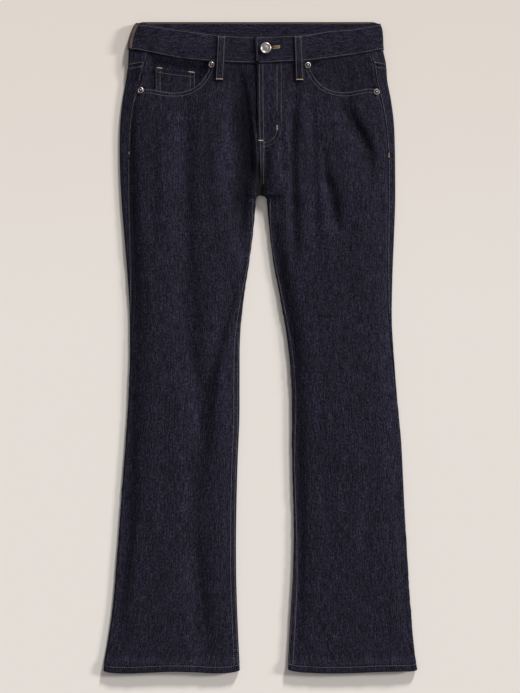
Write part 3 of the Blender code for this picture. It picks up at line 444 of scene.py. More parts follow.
def skin_point(side, down, around, front):
    """The place of the cloth's outer skin, with the two legs' folds rounded."""
    length = girth(side, down, front)
    size = np.abs(around)
    past_inner = (size > length) & (down > CROTCH)
    path = np.where(past_inner, 2 * length - size, size)
    over = np.where(past_inner, around < 0, around >= 0)
    from_inner = length - path
    dip = crotch_dip(down)
    side_across, side_share = round_fold(path)
    inner_across, inner_share = round_fold(np.maximum(from_inner, 0))
    inner_across = dip * inner_across + (1 - dip) * from_inner
    near_side = path < length / 2
    reach = np.where(
        near_side,
        outer_edge(side, down) - side_across,
        inner_edge(side, down, front) + inner_across,
    )
    across = side * reach
    facing, fly = layers_between(side, across, down)
    low = underside(side, across, down)
    raised = (loft(side, across, down, path, np.maximum(from_inner, 0)) ** 3 + facing**3) ** (1 / 3)
    high = low + 2 * CLOTH + LAYER + raised + fly + 2 * hem_extra(down)
    share = side_share * (1 - dip * (1 - inner_share))
    middle = (high + low) / 2
    pressed = run_heights(BACK_CREASES, across, down, 5) * share**4
    height = np.where(
        over, middle + (high - middle) * share, middle - (middle - low) * share + pressed
    )
    return np.stack([across, LENGTH / 2 - down + 0 * across, height], axis=-1)


def skin(side, down, around, out=0.0, front=True):
    """The skin's place, moved out along its own normal."""
    down, around = np.broadcast_arrays(np.asarray(down, float), np.asarray(around, float))
    place = skin_point(side, down, around, front)
    ahead = skin_point(side, down, around + PROBE, front)
    behind = skin_point(side, down, around - PROBE, front)
    below = skin_point(side, down + PROBE, around, front)
    above = skin_point(side, down - PROBE, around, front)
    normal = side * np.cross(ahead - behind, below - above)
    normal = normal / np.linalg.norm(normal, axis=-1, keepdims=True)
    return place + normal * np.asarray(out, float)[..., None]


def around_at(side, down, across, front=True):
    """The way around to a place across the front, or across the back."""
    path = outer_edge(side, down) - side * np.asarray(across, float) + ARC_EXTRA
    return path if front else -path


def across_at(side, down, around):
    """The place across the garment, away from the round folds."""
    return side * (outer_edge(side, down) + ARC_EXTRA - np.abs(around))


def seam_at(side, down):
    return curve(down, SIDE_SEAM["down"], SIDE_SEAM[side])


def inseam_at(side, down):
    """How far the inseam is from the inner fold: none at all above the crotch."""
    return curve(down, INSEAM["down"], INSEAM[side]) * leg_opening(down)


def shared_out(start, end, length, count):
    """Places from start to end, closer together round the folds and at both ends."""
    fine = np.linspace(start, end, 601)
    weight = np.ones(len(fine))
    for distance in (fine, np.abs(fine) - length):
        weight += 2.5 * np.exp(-((distance / 7) ** 2))
    for distance in (fine - start, fine - end):
        weight += 1.5 * np.exp(-((distance / 8) ** 2))
    total = np.concatenate([[0], np.cumsum((weight[1:] + weight[:-1]) / 2)])
    return np.interp(np.linspace(0, total[-1], count), total, fine)


def band_edge(side, around, which):
    """How far down the waistband's top or bottom edge is."""
    front = 30.0 + 0 * around
    for _ in range(4):
        reach = outer_edge(side, front) - np.maximum(around - ARC_EXTRA, 0)
        front = curve(side * reach, BAND_FRONT["across"], BAND_FRONT[which])
    back = BAND_BACK_TOP if which == "top" else BAND_BACK_BOTTOM
    return front + (back - front) * ramp(-around / 12)


def scoop_line(side, shares, edge=SCOOP, inset=0.0):
    """Across and down of the hand pocket's edge, or of another edge that follows it."""
    start = SCOOP_START[side] - inset
    top = curve(side * SCOOP_START[side], BAND_FRONT["across"], BAND_FRONT["bottom"])
    down = top + curve(shares, edge["share"], edge["depth"])
    seam = outer_edge(side, down) + ARC_EXTRA - seam_at(side, down)
    return start + (seam - start) * shares, down


def yoke_seam(side, around):
    """How far down the yoke's lower seam is, deepest at the centre back."""
    length = girth(side, 90.0, False)
    share = np.clip((22 - around) / (length + 22), 0, 1)
    return YOKE_SIDE + (YOKE_CENTRE - YOKE_SIDE) * share


def hem_rise(side, around, length):
    share = 1 - np.abs(1 - np.abs(around) / length)
    return curve(share, HEM_RISE["share"], HEM_RISE[side])


# ---- Seams and stitch lines, as distances from an edge ----

FELLED_ROWS = (1.7, 8.0)  # the two rows of a felled seam
YOKE_ROWS = (-3.6, 3.8)
SCOOP_ROWS = (1.8, 6.8)
BAND_ROWS = (2.7, 2.0)  # in from the top and from the bottom edge
COIN_ROWS, COIN_HEM = (1.4, 7.9), 7.8  # in from the coin pocket's sides and top
COIN_TACKS = ((-162.2, 74.8, 7.5), (-111.4, 81.4, 8.5))  # across, down and length
POCKET_ROWS, POCKET_HEM = (1.8, 8.0), (10.0, 16.5)  # of the back pockets
LOOP_ROW = 2.0
HEM_STITCH = 10.0
SIDE_STITCH = 1.8
SIDE_TACK, SIDE_ROW_END = 214.0, 470.0  # down, the bartack on a side seam and its stitching's end
FLY_ROWS, FLY_ROW_ENDS = (3.1, 8.6), (266.0, 262.0)
J_ROWS = (
    # across, where it starts to turn, the lowest place
    (26.7, 172.0, 196.2),
    (33.3, 170.0, 202.4),
)


def groove(distance, depth=0.28, width=0.9):
    return -depth * np.exp(-((distance / width) ** 2))


def grooves(distance, rows, depth=0.28):
    """A groove at each row of stitching."""
    return sum(groove(distance - row, depth) for row in rows)


def ridge(distance, start, end, height, soft=1.0):
    """A flat ridge between two distances from an edge."""
    rise = ramp((distance - start + soft) / (2 * soft))
    return height * rise * ramp((end + soft - distance) / (2 * soft))


def pucker(distance, across, down, height=0.28, reach=6.0, size=6.5, seed=5):
    """Small hills that the thread draws up along a seam."""
    hills = noise(across / size, down / size, seed)
    return height * hills * np.exp(-((distance / reach) ** 2))


def near(line, across, down):
    """The distance from each place to a line on the flat garment."""
    flat = np.stack([np.ravel(across), np.ravel(down)], axis=1)
    nearest = np.full(len(flat), 1e9)
    low, high = line.min(axis=0) - 14, line.max(axis=0) + 14
    inside = ((flat > low) & (flat < high)).all(axis=1)
    start, run = line[:-1], np.diff(line, axis=0)
    offset = flat[inside, None] - start
    t = np.clip((offset * run).sum(axis=2) / (run**2).sum(axis=1), 0, 1)
    gaps = np.linalg.norm(offset - t[..., None] * run, axis=2)
    nearest[inside] = gaps.min(axis=1)
    return nearest.reshape(np.shape(across))


def scoop_edge(side, inset=0.0, count=60):
    """The hand pocket's edge as places across and down, moved into the front by the inset."""
    reach, down = scoop_line(side, np.linspace(0, 1, count) ** 1.4)
    line = np.stack([side * reach, down], axis=1)
    slope = np.gradient(line, axis=0)
    slope = slope / np.linalg.norm(slope, axis=1, keepdims=True)
    return line + side * inset * np.stack([-slope[:, 1], slope[:, 0]], axis=1)


def j_line(width, turn, lowest):
    """A row of fly stitching: down from the waistband, then round to the fly's edge."""
    angle = np.linspace(0, math.pi / 2, 24)
    end = fly_edge(lowest)
    top = curve(width, BAND_FRONT["across"], BAND_FRONT["bottom"])
    bend = np.stack([end + (width - end) * np.cos(angle) ** 0.9,
                     turn + (lowest - turn) * np.sin(angle) ** 0.9], axis=1)
    straight = np.stack([np.full(20, width), np.linspace(top + 1.5, turn, 20)], axis=1)
    return np.vstack([straight[:-1], bend])


def hem_distance(side, down, around, front):
    return LENGTH - hem_rise(side, around, girth(side, down, front)) - down


def hem_relief(from_hem, around):
    """The turned hem, which its stitching twists a little."""
    rope = np.sin(2 * math.pi * (around + 1.1 * from_hem) / 8.5 + 1.5 * noise(around / 21, 0, 9))
    twist = 0.22 * rope * ridge(from_hem, 0.5, HEM_STITCH - 1, 1.0, 2.0)
    return twist + groove(from_hem - HEM_STITCH, 0.4) + ridge(from_hem, -3, HEM_DEPTH, 0.25)


def front_relief(side, down, around):
    """What seams, stitches and layers beneath add to a front's skin."""
    across = across_at(side, down, around)
    from_seam = around - seam_at(side, down)
    from_inner = girth(side, down, True) - inseam_at(side, down) - around
    leg = leg_opening(down)
    total = groove(from_seam, 0.5, 1.2) + ridge(from_seam, 2, 10, 0.4, 1.6)
    total += pucker(from_seam, across, down)
    inseam = ridge(from_inner, -2, 9.3, 0.5) + pucker(from_inner - 5, across, down)
    total += leg * (inseam + grooves(from_inner, FELLED_ROWS))
    total += hem_relief(hem_distance(side, down, around, True), around)
    for row in SCOOP_ROWS:
        total += groove(near(scoop_edge(side, row), across, down))
    from_scoop = near(scoop_edge(side), across, down)
    total += ridge(from_scoop, -2, 8.2, 0.35) + pucker(from_scoop - 4, across, down, 0.35)
    if side == LEFT:
        total += fly_relief(down, across, from_inner)
    else:
        total -= 0.8 * (1 - leg) * np.exp(-((from_inner / 3) ** 2))
    return total


def fly_relief(down, across, from_inner):
    """The fly's facing behind the left front, and the seam below it."""
    above = 1 - leg_opening(down)
    outer = J_ROWS[1]
    inside = ramp((outer[0] + 3 - across) / 3)
    inside *= ramp((outer[2] + 3 - down) / 3)
    total = 0.45 * inside
    for row in J_ROWS:
        total += groove(near(j_line(*row), across, down), 0.35)
    edge = grooves(from_inner, FLY_ROWS) + pucker(from_inner - 5, across, down, 0.22)
    return total + above * (edge + ridge(from_inner, -2, 10, 0.3))


def back_relief(side, down, around):
    """Seams of a back: raised only where it shows on the front, pressed in where it rests."""
    across = across_at(side, down, around)
    from_seam = seam_at(side, down) - around
    length = girth(side, down, False)
    from_inner = length - inseam_at(side, down) + around
    total = groove(from_seam - SIDE_STITCH) * (down < 560)
    total += groove(from_seam - FELLED_ROWS[1] + 2) * 0.4
    on_front = ramp((around + 2) / 6)
    total += on_front * (ridge(from_seam, -2, 9, 0.4) + pucker(from_seam - 3, across, down))
    total += groove(from_inner, 0.35, 1.2)
    from_yoke = down - yoke_seam(side, around)
    total += grooves(from_yoke, FELLED_ROWS)
    if side == RIGHT:
        total += (1 - leg_opening(down)) * grooves(from_inner, FELLED_ROWS)
    from_hem = hem_distance(side, down, around, False)
    return total + groove(from_hem - HEM_STITCH, 0.4) - 0.3 * ridge(from_hem, -3, 9, 1.0)


def band_relief(side, down, around):
    """A waistband's stitched edges and the dimples between them."""
    across = across_at(side, down, around)
    from_top = down - band_edge(side, around, "top")
    from_bottom = band_edge(side, around, "bottom") - down
    total = groove(from_top - BAND_ROWS[0]) + groove(from_bottom - BAND_ROWS[1])
    total += pucker(from_top - 3, across, down, 0.3, 5.0)
    total += pucker(from_bottom - 3, across, down, 0.35, 5.0)
    return total + 0.35 * noise(across / 19, down / 13, 11)


def no_relief(side, down, around):
    return pucker(0, across_at(side, down, around), down, 0.12)


# ---- Materials ----


class Shader:
    """A Principled material whose patterns are built node by node."""

    def __init__(self, name):
        self.material = bpy.data.materials.new(name)
        self.material.use_nodes = True
        self.tree = self.material.node_tree
        self.main = self.tree.nodes["Principled BSDF"]

    def node(self, kind, inputs=None, **settings):
        made = self.tree.nodes.new(kind)
        for name, value in settings.items():
            setattr(made, name, value)
        for name, value in (inputs or {}).items():
            self.put(made.inputs[name], value)
        return made

    def put(self, socket, value):
        if isinstance(value, bpy.types.NodeSocket):
            self.tree.links.new(value, socket)
        else:
            socket.default_value = value

    def maths(self, operation, first, second=0.0):
        made = self.node("ShaderNodeMath", operation=operation)
        self.put(made.inputs[0], first)
        self.put(made.inputs[1], second)
        return made.outputs[0]

    def remap(self, value, low, high, to_low, to_high):
        inputs = {"Value": value, "From Min": low, "From Max": high, "To Min": to_low,
                  "To Max": to_high}
        return self.node("ShaderNodeMapRange", inputs).outputs["Result"]

    def mix(self, share, first, second, blend="MIX"):
        made = self.node("ShaderNodeMix", data_type="RGBA", blend_type=blend)
        self.put(made.inputs["Factor"], share)
        self.put(made.inputs[6], first)
        self.put(made.inputs[7], second)
        return made.outputs[2]

    def scaled(self, vector, scale, turn=0.0):
        inputs = {"Vector": vector, "Scale": scale, "Rotation": (0, 0, turn)}
        return self.node("ShaderNodeMapping", inputs).outputs["Vector"]

    def blended(self, pattern, low, high, first, second):
        """From one colour to another, where the pattern goes from low to high."""
        return self.mix(self.remap(pattern, low, high, 0.0, 1.0), (*first, 1), (*second, 1))

    def noise(self, vector, detail=2.0, roughness=0.5):
        inputs = {"Vector": vector, "Scale": 1.0, "Detail": detail, "Roughness": roughness}
        return self.node("ShaderNodeTexNoise", inputs).outputs["Fac"]

    def object_noise(self, scale, detail=2.0):
        """Clouds in the object's own space."""
        place = self.node("ShaderNodeTexCoord").outputs["Object"]
        return self.noise(self.scaled(place, scale), detail)

    def bump(self, height, strength, distance):
        inputs = {"Height": height, "Strength": strength, "Distance": distance}
        self.put(self.main.inputs["Normal"], self.node("ShaderNodeBump", inputs).outputs[0])

    def set(self, **values):
        for name, value in values.items():
            self.put(self.main.inputs[name.replace("_", " ")], value)
        return self.material


TWILL = 2 * math.pi * 1900.0  # twill lines in a metre, times a turn


def denim(name, colour, contrast=1.0):
    """Twill: specks of pale weft, slubs along the warp and a soft mottle."""
    s = Shader(name)
    place = s.node("ShaderNodeUVMap", uv_map="cloth").outputs["UV"]
    grain = s.noise(s.scaled(place, (520, 260, 1), 0.12), 3.0, 0.7)
    speck = s.remap(grain, 0.4, 0.6, 0.3, 0.7)
    slub = s.noise(s.scaled(place, (430, 15, 1)))
    fine_slub = s.noise(s.scaled(place, (620, 62, 1)))
    mottle = s.noise(s.scaled(place, (48, 16, 1)), 3.0)
    shade = 1.0
    for pattern, spread in ((speck, 0.75), (slub, 0.3), (fine_slub, 0.75), (mottle, 0.12)):
        reach = spread * contrast
        shade = s.maths("MULTIPLY", shade, s.remap(pattern, 0.3, 0.7, 1 - reach, 1 + reach))
    # Painted shade: the colour is darkened by the attribute that the fronts carry for their deepest
    # folds.
    painted_shade = s.node("ShaderNodeAttribute", attribute_name="painted_shade").outputs["Fac"]
    shade = s.maths("MULTIPLY", shade, s.maths("SUBTRACT", 1.0, painted_shade))
    tone = s.mix(1.0, (*colour, 1), shade, "MULTIPLY")
    split = s.node("ShaderNodeSeparateXYZ", {"Vector": place})
    lines = s.maths("ADD", split.outputs[0], split.outputs[1])
    lines = s.maths("SINE", s.maths("MULTIPLY", lines, TWILL))
    height = s.maths("ADD", s.maths("MULTIPLY", lines, 0.25), s.maths("MULTIPLY", speck, 1.1))
    height = s.maths("ADD", height, s.maths("MULTIPLY", slub, 0.8))
    s.bump(height, 0.55, 0.00035)
    return s.set(Base_Color=tone, Roughness=0.9, Sheen_Weight=0.04, Sheen_Roughness=0.5,
                 Sheen_Tint=(0.55, 0.58, 0.8, 1), Specular_IOR_Level=0.1)


def thread(name, colour, pale):
    """Twisted sewing thread."""
    s = Shader(name)
    s.bump(s.object_noise((5200, 5200, 5200), 1.0), 0.4, 0.0002)
    mixed = s.blended(s.object_noise((900, 900, 900)), 0.35, 0.65, colour, pale)
    return s.set(Base_Color=mixed, Roughness=0.62, Sheen_Weight=0.2, Specular_IOR_Level=0.35)


def leather(name, colour, worn):
    """Plain coated patch board with a fine pebble grain."""
    s = Shader(name)
    place = s.node("ShaderNodeTexCoord").outputs["Object"]
    pebbles = {"Vector": s.scaled(place, (900, 900, 900)), "Scale": 1.0}
    cells = s.node("ShaderNodeTexVoronoi", pebbles, feature="DISTANCE_TO_EDGE").outputs["Distance"]
    cloud = s.object_noise((130, 130, 130), 4.0)
    s.bump(s.maths("ADD", cells, s.maths("MULTIPLY", cloud, 0.8)), 0.5, 0.0002)
    mixed = s.blended(cloud, 0.35, 0.7, colour, worn)
    return s.set(Base_Color=mixed, Roughness=s.remap(cloud, 0.3, 0.7, 0.5, 0.72))


def metal(name, colour, dull, roughness):
    """Aged nickel, darker and duller in patches."""
    s = Shader(name)
    scuff = s.object_noise((2600, 700, 2600))
    s.bump(scuff, 0.15, 0.0001)
    mixed = s.blended(s.object_noise((420, 420, 420), 4.0), 0.35, 0.7, colour, dull)
    rough = s.remap(scuff, 0.3, 0.7, roughness - 0.08, roughness + 0.12)
    return s.set(Base_Color=mixed, Metallic=1.0, Roughness=rough)


DENIM = denim("denim", (0.0119, 0.0107, 0.0202))
DENIM_INSIDE = denim("denim_inside", (0.10, 0.11, 0.15), 0.7)
POCKETING = denim("pocketing", (0.03, 0.03, 0.045), 0.4)
THREAD_GREY = thread("thread_grey", (0.13, 0.115, 0.12), (0.27, 0.24, 0.23))
THREAD_TAN = thread("thread_tan", (0.26, 0.14, 0.07), (0.45, 0.28, 0.16))
THREAD_CREAM = thread("thread_cream", (0.40, 0.26, 0.17), (0.62, 0.48, 0.36))
THREAD_DARK = thread("thread_dark", (0.05, 0.045, 0.055), (0.10, 0.09, 0.10))
PATCH_LOOK = leather("patch", (0.046, 0.026, 0.022), (0.095, 0.056, 0.048))
METAL_PALE = metal("metal_pale", (0.56, 0.49, 0.47), (0.40, 0.34, 0.33), 0.34)
METAL_DARK = metal("metal_dark", (0.035, 0.03, 0.03), (0.02, 0.018, 0.018), 0.6)

# ---- Meshes ----


def object_of(name, points, faces, looks, node=None, sharp=None):
    """A piece from its points in millimetres, riding on the one body."""
    mesh = bpy.data.meshes.new(name)
    mesh.from_pydata((np.asarray(points) * MM).tolist(), [], [list(face) for face in faces])
    mesh.shade_smooth()
    if sharp:
        mesh.set_sharp_from_angle(angle=math.radians(sharp))
    for look in looks:
        mesh.materials.append(look)
    made = bpy.data.objects.new(name, mesh)
    bpy.context.scene.collection.objects.link(made)
    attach(made, "root")
    if node:
        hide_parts(node)
    return made


def shell_faces(rows, columns, hole):
    """Faces of a closed wall between two grids: both skins, and the rim."""
    index = np.arange(rows * columns).reshape(rows, columns)
    keep = np.ones((rows - 1, columns - 1), bool)
    for cell in hole:
        keep[cell] = False
    outer = np.stack([index[:-1, :-1][keep], index[:-1, 1:][keep],
                      index[1:, 1:][keep], index[1:, :-1][keep]], axis=1)
    inner = outer[:, ::-1] + rows * columns
    starts, ends = outer.ravel(), np.roll(outer, -1, axis=1).ravel()
    pair = np.minimum(starts, ends) * rows * columns + np.maximum(starts, ends)
    _, place, uses = np.unique(pair, return_index=True, return_counts=True)
    rim = place[uses == 1]
    start, end = starts[rim], ends[rim]
    rim = np.stack([end, start, start + rows * columns, end + rows * columns], axis=1)
    return outer, inner, rim


def signed_volume(points, faces):
    corners = points[np.concatenate([faces[:, [0, 1, 2]], faces[:, [0, 2, 3]]])]
    return np.einsum("ij,ij->i", corners[:, 0], np.cross(corners[:, 1], corners[:, 2])).sum()


def shell(name, node, outer, inner, flat, slot="denim", looks=(DENIM, DENIM), hole=(), turn=False):
    """A thin closed piece of cloth between two grids of points, with its own cloth map."""
    rows, columns = outer.shape[:2]
    points = np.concatenate([outer.reshape(-1, 3), inner.reshape(-1, 3)])
    out_faces, in_faces, rim = shell_faces(rows, columns, hole)
    faces = np.concatenate([out_faces, in_faces, rim])
    if signed_volume(points, faces) < 0:
        faces = faces[:, ::-1]
    made = object_of(name, points, faces, looks, node, sharp=55)
    inside = np.zeros(len(faces), np.int32)
    inside[len(out_faces):len(out_faces) + len(in_faces)] = 1
    made.data.polygons.foreach_set("material_index", inside)
    places = np.stack(flat[::-1] if turn else flat, axis=-1).reshape(-1, 2) * MM
    uv = made.data.uv_layers.new(name="cloth")
    uv.uv.foreach_set("vector", np.tile(places, (2, 1))[faces.ravel()].astype(np.float32).ravel())
    return made


def edged(grid, places, axis):
    """A grid with extra lines just inside its first and last ones."""
    grid = np.moveaxis(grid, axis, 0)
    first = [grid[0] + (grid[1] - grid[0]) * place for place in places]
    last = [grid[-1] + (grid[-2] - grid[-1]) * place for place in places[::-1]]
    made = np.concatenate([grid[:1], first, grid[1:-1], last, grid[-1:]])
    return np.moveaxis(made, 0, axis)


def steps_in(points, axis):
    """How far each point is from the first and from the last line of its grid."""
    steps = np.linalg.norm(np.diff(points, axis=axis), axis=2)
    zero = np.zeros_like(np.take(steps, [0], axis=axis))
    total = np.concatenate([zero, np.cumsum(steps, axis=axis)], axis=axis)
    return total, np.take(total, [-1], axis=axis) - total


def edge_fall(distance, radius):
    """How far a rounded edge drops at this distance from it."""
    short = np.clip(radius - distance, 0, radius)
    return radius - np.sqrt(radius**2 - short**2)


EDGE_STEPS = (0.12, 0.35, 0.8)  # millimetres in from an edge


def painted_fold_shade(across, down):
    """How much painted shade darkens the cloth's colour down in the deepest folds."""
    across, down = np.broadcast_arrays(across, down)
    return np.clip(sum(fold_along(*fold, across, down) for fold in PAINTED_FOLD_SHADES), 0, 0.9)


def panel(name, node, side, downs, arounds, out=(-CLOTH, 0.0), relief=no_relief, front=True,
          walls=None, **more):
    """A piece of cloth over a grid of places, with rounded edges and its seams' relief."""
    for axis in (0, 1):
        steps = np.hypot(np.diff(downs, axis=axis), np.diff(arounds, axis=axis))
        places = [step / float(np.median(steps)) for step in EDGE_STEPS]
        places = [place for place in places if place < 0.8]
        downs, arounds = edged(downs, places, axis), edged(arounds, places, axis)
    middle = skin(side, downs, arounds, (out[0] + out[1]) / 2, front)
    gaps = np.minimum.reduce([gap for axis in (0, 1) for gap in steps_in(middle, axis)])
    low = out[0] + 0 * downs if walls is None else walls(downs, arounds)
    fall = np.minimum(edge_fall(gaps, 0.8), 0.42 * (out[1] - low))
    outer = skin(side, downs, arounds, out[1] + relief(side, downs, arounds) - fall, front)
    outer[..., 2] = np.maximum(outer[..., 2], 0)  # the surface beneath presses it flat
    inner = skin(side, downs, arounds, low + fall, front)
    made = shell(name, node, outer, inner, (arounds, downs), **more)
    if front:
        # Painted shade for the deepest folds, kept on the front's points for its material to darken
        # the colour.
        painted_shade = painted_fold_shade(across_at(side, downs, arounds), downs) * (arounds > 0)
        layer = made.data.attributes.new("painted_shade", "FLOAT", "POINT")
        layer.data.foreach_set("value", np.tile(painted_shade.ravel(), 2).astype(np.float32))
    return made


# ---- Pieces of cloth ----

ROW_PITCH = 3.3
FRONT_COLUMNS, BACK_COLUMNS = 84, 86
SCOOP_SHARE = 0.575  # of a front's columns, from the side seam
TOP_ROWS = 20
TOP_STATION = 132.0
CROTCH_STATIONS = ((270, 279, 1.5), (279.5, 285.5, 0.75))  # from, to and step
HEM_PITCH = 1.2
BAND_COLUMNS = (14, 14, 68)  # between the waistband's end, its bends and its other end
SLOT_ROWS, SLOT_COLUMNS = (8, 9), 25
# Rows and columns of the other pieces.
GRIDS = {
    "yoke": (16, 76),
    "band": (18, 72),
    "facing": (26, 50),
    "coin_pocket": (18, 24),
    "back_pocket": (42, 47),
    "belt_loop": (44, 17),
    "fly_shield": (30, 14),
    "zip": (24, 8),
    "patch": (20, 46),
}
LINED = (DENIM, DENIM_INSIDE)


def names_of(cloth, node, side):
    """The name of a piece on one side, and of the solid that it takes the place of."""
    return f"denim_{cloth}_{SIDE_NAME[side]}", f"{node}_{SIDE_NAME[side]}"


def shares_of(piece):
    """The shares of the way down a piece's grid, and of the way across it."""
    rows, columns = GRIDS[piece]
    return np.linspace(0, 1, rows)[:, None], np.linspace(0, 1, columns)[None]


def leg_stations():
    """Rows from the upper thigh to the hem, closer together at the crotch and the hem."""
    plain = np.arange(TOP_STATION, LENGTH - HEM_DEPTH - 4, ROW_PITCH)
    crotch = np.concatenate([np.arange(*stations) for stations in CROTCH_STATIONS])
    above, below = plain[plain < crotch[0] - 1.5], plain[plain > CROTCH_STATIONS[1][1] + 1]
    hem = np.arange(LENGTH - HEM_DEPTH - 3, LENGTH - 1, HEM_PITCH)
    return np.concatenate([above, crotch, below, hem, [LENGTH]])


def leg_grid(side, front, count):
    """Rows of places from the upper thigh to the hem, each from the side seam to the centre."""
    way = 1 if front else -1
    rise_over = LENGTH - 20 - HEM_RISE_FROM
    downs, arounds = [], []
    for station in leg_stations():
        length = float(girth(side, station, front))
        seam = float(seam_at(side, station))
        inner = float(inseam_at(side, station))
        end = way * (length - SEAM / 2) - inner
        row = shared_out(seam + way * SEAM / 2, end, length, count)
        down = station - hem_rise(side, row, length) * ramp((station - HEM_RISE_FROM) / rise_over)
        downs.append(down)
        arounds.append(row * girth(side, down, front) / length)
    return np.array(downs), np.array(arounds)


def hem_walls(downs, arounds):
    """The inner side of a leg's cloth, doubled at the hem."""
    turned = ramp((downs - (LENGTH - HEM_DEPTH - 5)) / 1.5)
    return -CLOTH - (HEM_CLOTH - CLOTH) * turned


def blend_rows(top, grid_row, rows):
    """Rows from a shaped top edge to a plain row, left out themselves at the lower end."""
    shares = np.linspace(0, 1, rows + 1)[:-1, None]
    return top + (grid_row - top) * shares


def front_panel(side):
    """One front, from the hand pocket and the waistband to the hem."""
    downs, arounds = leg_grid(side, True, FRONT_COLUMNS)
    spread = (arounds[0] - arounds[0][0]) / np.ptp(arounds[0])
    corner = int(np.searchsorted(spread, SCOOP_SHARE))
    shares = (1 - spread[:corner + 1] / spread[corner]) ** 1.25
    scoop_reach, scoop_down = scoop_line(side, shares)
    top_around = outer_edge(side, scoop_down) + ARC_EXTRA - scoop_reach
    top_around[0] = seam_at(side, scoop_down[0]) + SEAM / 2
    edge = side * fly_edge(BAND_FRONT["bottom"][5]) + SEAM / 2
    beyond = (spread[corner + 1:] - spread[corner]) / (1 - spread[corner])
    band_reach = SCOOP_START[side] + (edge - SCOOP_START[side]) * beyond
    band_down = curve(side * band_reach, BAND_FRONT["across"], BAND_FRONT["bottom"])
    band_around = outer_edge(side, band_down) + ARC_EXTRA - band_reach
    top_down = np.concatenate([scoop_down, band_down])
    top_down[corner:] += SEAM
    top_around = np.concatenate([top_around, band_around])
    downs = np.vstack([blend_rows(top_down, downs[0], TOP_ROWS), downs])
    # Towards the plain row below, the centre seam and the side seam keep their own places.
    upper = blend_rows(top_around, arounds[0], TOP_ROWS)
    for row in range(TOP_ROWS):
        first, last = downs[row][0], downs[row][-1]
        starts, ends = seam_at(side, first) + SEAM / 2, girth(side, last, True) - SEAM / 2
        share = (upper[row] - upper[row][0]) / np.ptp(upper[row])
        upper[row] += (starts - upper[row][0]) * (1 - share) + (ends - upper[row][-1]) * share
    arounds = np.vstack([upper, arounds])
    panel(*names_of("front", "front", side), side, downs, arounds, relief=front_relief,
          walls=hem_walls, looks=LINED)


def fit_back(side, arounds, downs, length):
    """Places behind the side fold, stretched from one girth to each row's own."""
    return np.where(arounds < 0, arounds * girth(side, downs, False) / length, arounds)


def back_panel(side):
    """One back, from the yoke to the hem."""
    downs, arounds = leg_grid(side, False, BACK_COLUMNS)
    top_down = yoke_seam(side, arounds[0]) + SEAM
    top_around = fit_back(side, arounds[0], top_down, girth(side, TOP_STATION, False))
    upper_down = blend_rows(top_down, downs[0], TOP_ROWS)
    upper_around = blend_rows(top_around, arounds[0], TOP_ROWS)
    for row in range(TOP_ROWS):
        first, last = upper_down[row][0], upper_down[row][-1]
        upper_around[row][0] = seam_at(side, first) - SEAM / 2
        upper_around[row][-1] = -girth(side, last, False) + SEAM / 2
    downs = np.vstack([upper_down, downs])
    arounds = np.vstack([upper_around, arounds])
    panel(*names_of("back", "back", side), side, downs, arounds, relief=back_relief, front=False,
          walls=hem_walls, looks=LINED)


def yoke(side):
    """One back yoke, from the waistband to the seam above the back."""
    length = float(girth(side, 80.0, False))
    row = shared_out(float(seam_at(side, 60.0)), -length, length, GRIDS["yoke"][1])
    shares, _ = shares_of("yoke")
    arounds = plain = row + 0 * shares
    for _ in range(3):
        top = band_edge(side, arounds[0], "bottom") + SEAM
        downs = top + (yoke_seam(side, arounds[-1]) - top) * shares
        arounds = fit_back(side, plain, downs, length)
        arounds[:, 0] = seam_at(side, downs[:, 0]) - SEAM / 2
        arounds[:, -1] = -girth(side, downs[:, -1], False) + SEAM / 2
    panel(*names_of("yoke", "yoke", side), side, downs, arounds, relief=yoke_relief, front=False,
          looks=LINED)


def yoke_relief(side, down, around):
    across = across_at(side, down, around)
    from_seam = seam_at(side, down) - around
    from_yoke = yoke_seam(side, around) - down
    on_front = ramp((around + 2) / 6)
    total = groove(from_seam - SIDE_STITCH) + groove(from_yoke, 0.35, 1.2)
    return total + on_front * (pucker(from_yoke, across, down) + ridge(from_seam, -2, 9, 0.4))


def slot_half(across):
    """Half of the buttonhole's width: an eye round the shank, and a slit."""
    return 0.55 + 1.5 * np.exp(-(((across - BUTTON_AT[0]) / 2.2) ** 2))


def slot_down(across):
    """The buttonhole's line, which rises a little away from the eye."""
    return BUTTON_AT[1] - 0.1 * (across - BUTTON_AT[0])


def front_band(side):
    """The waistband's front, with the left one lapped over the right one."""
    end = BAND_UNDERLAP_END if side == RIGHT else BAND_LAP_EDGE
    end_around = float(around_at(side, BAND_MIDDLE, end))
    first_bend, last_bend = BAND_BENDS
    plain = np.concatenate([
        shared_out(BAND_JOINT, first_bend, NO_FOLD, BAND_COLUMNS[0]),
        np.linspace(first_bend, last_bend, BAND_COLUMNS[1])[1:],
        np.linspace(last_bend, end_around, BAND_COLUMNS[2])[1:],
    ])
    shares, _ = shares_of("band")
    hole = ()
    if side == LEFT:
        start, stop = (
            float(around_at(side, BAND_MIDDLE, BUTTONHOLE[key])) for key in ("to", "from")
        )
        slot = np.linspace(start, stop, SLOT_COLUMNS)
        beyond = np.linspace(stop, end_around, 8)[1:]
        plain = np.concatenate([plain[plain < start - 1], slot, beyond])
        first = int(np.searchsorted(plain, start))
        # The panel's own edge lines move the hole's cells on.
        extra = len(EDGE_STEPS)
        columns = range(first + extra, first + extra + SLOT_COLUMNS - 1)
        hole = tuple((SLOT_ROWS[0] + extra, column) for column in columns)
    top = band_edge(side, plain, "top")
    bottom = band_edge(side, plain, "bottom")
    downs = top + (bottom - top) * shares
    arounds = plain + 0 * shares
    if side == LEFT:
        downs = round_slot(downs, across_at(LEFT, BAND_MIDDLE, plain))
    panel(*names_of("band_front", "waistband_front", side), side, downs, arounds,
          (-CLOTH, BAND_PROUD), band_relief, hole=hole, turn=True)


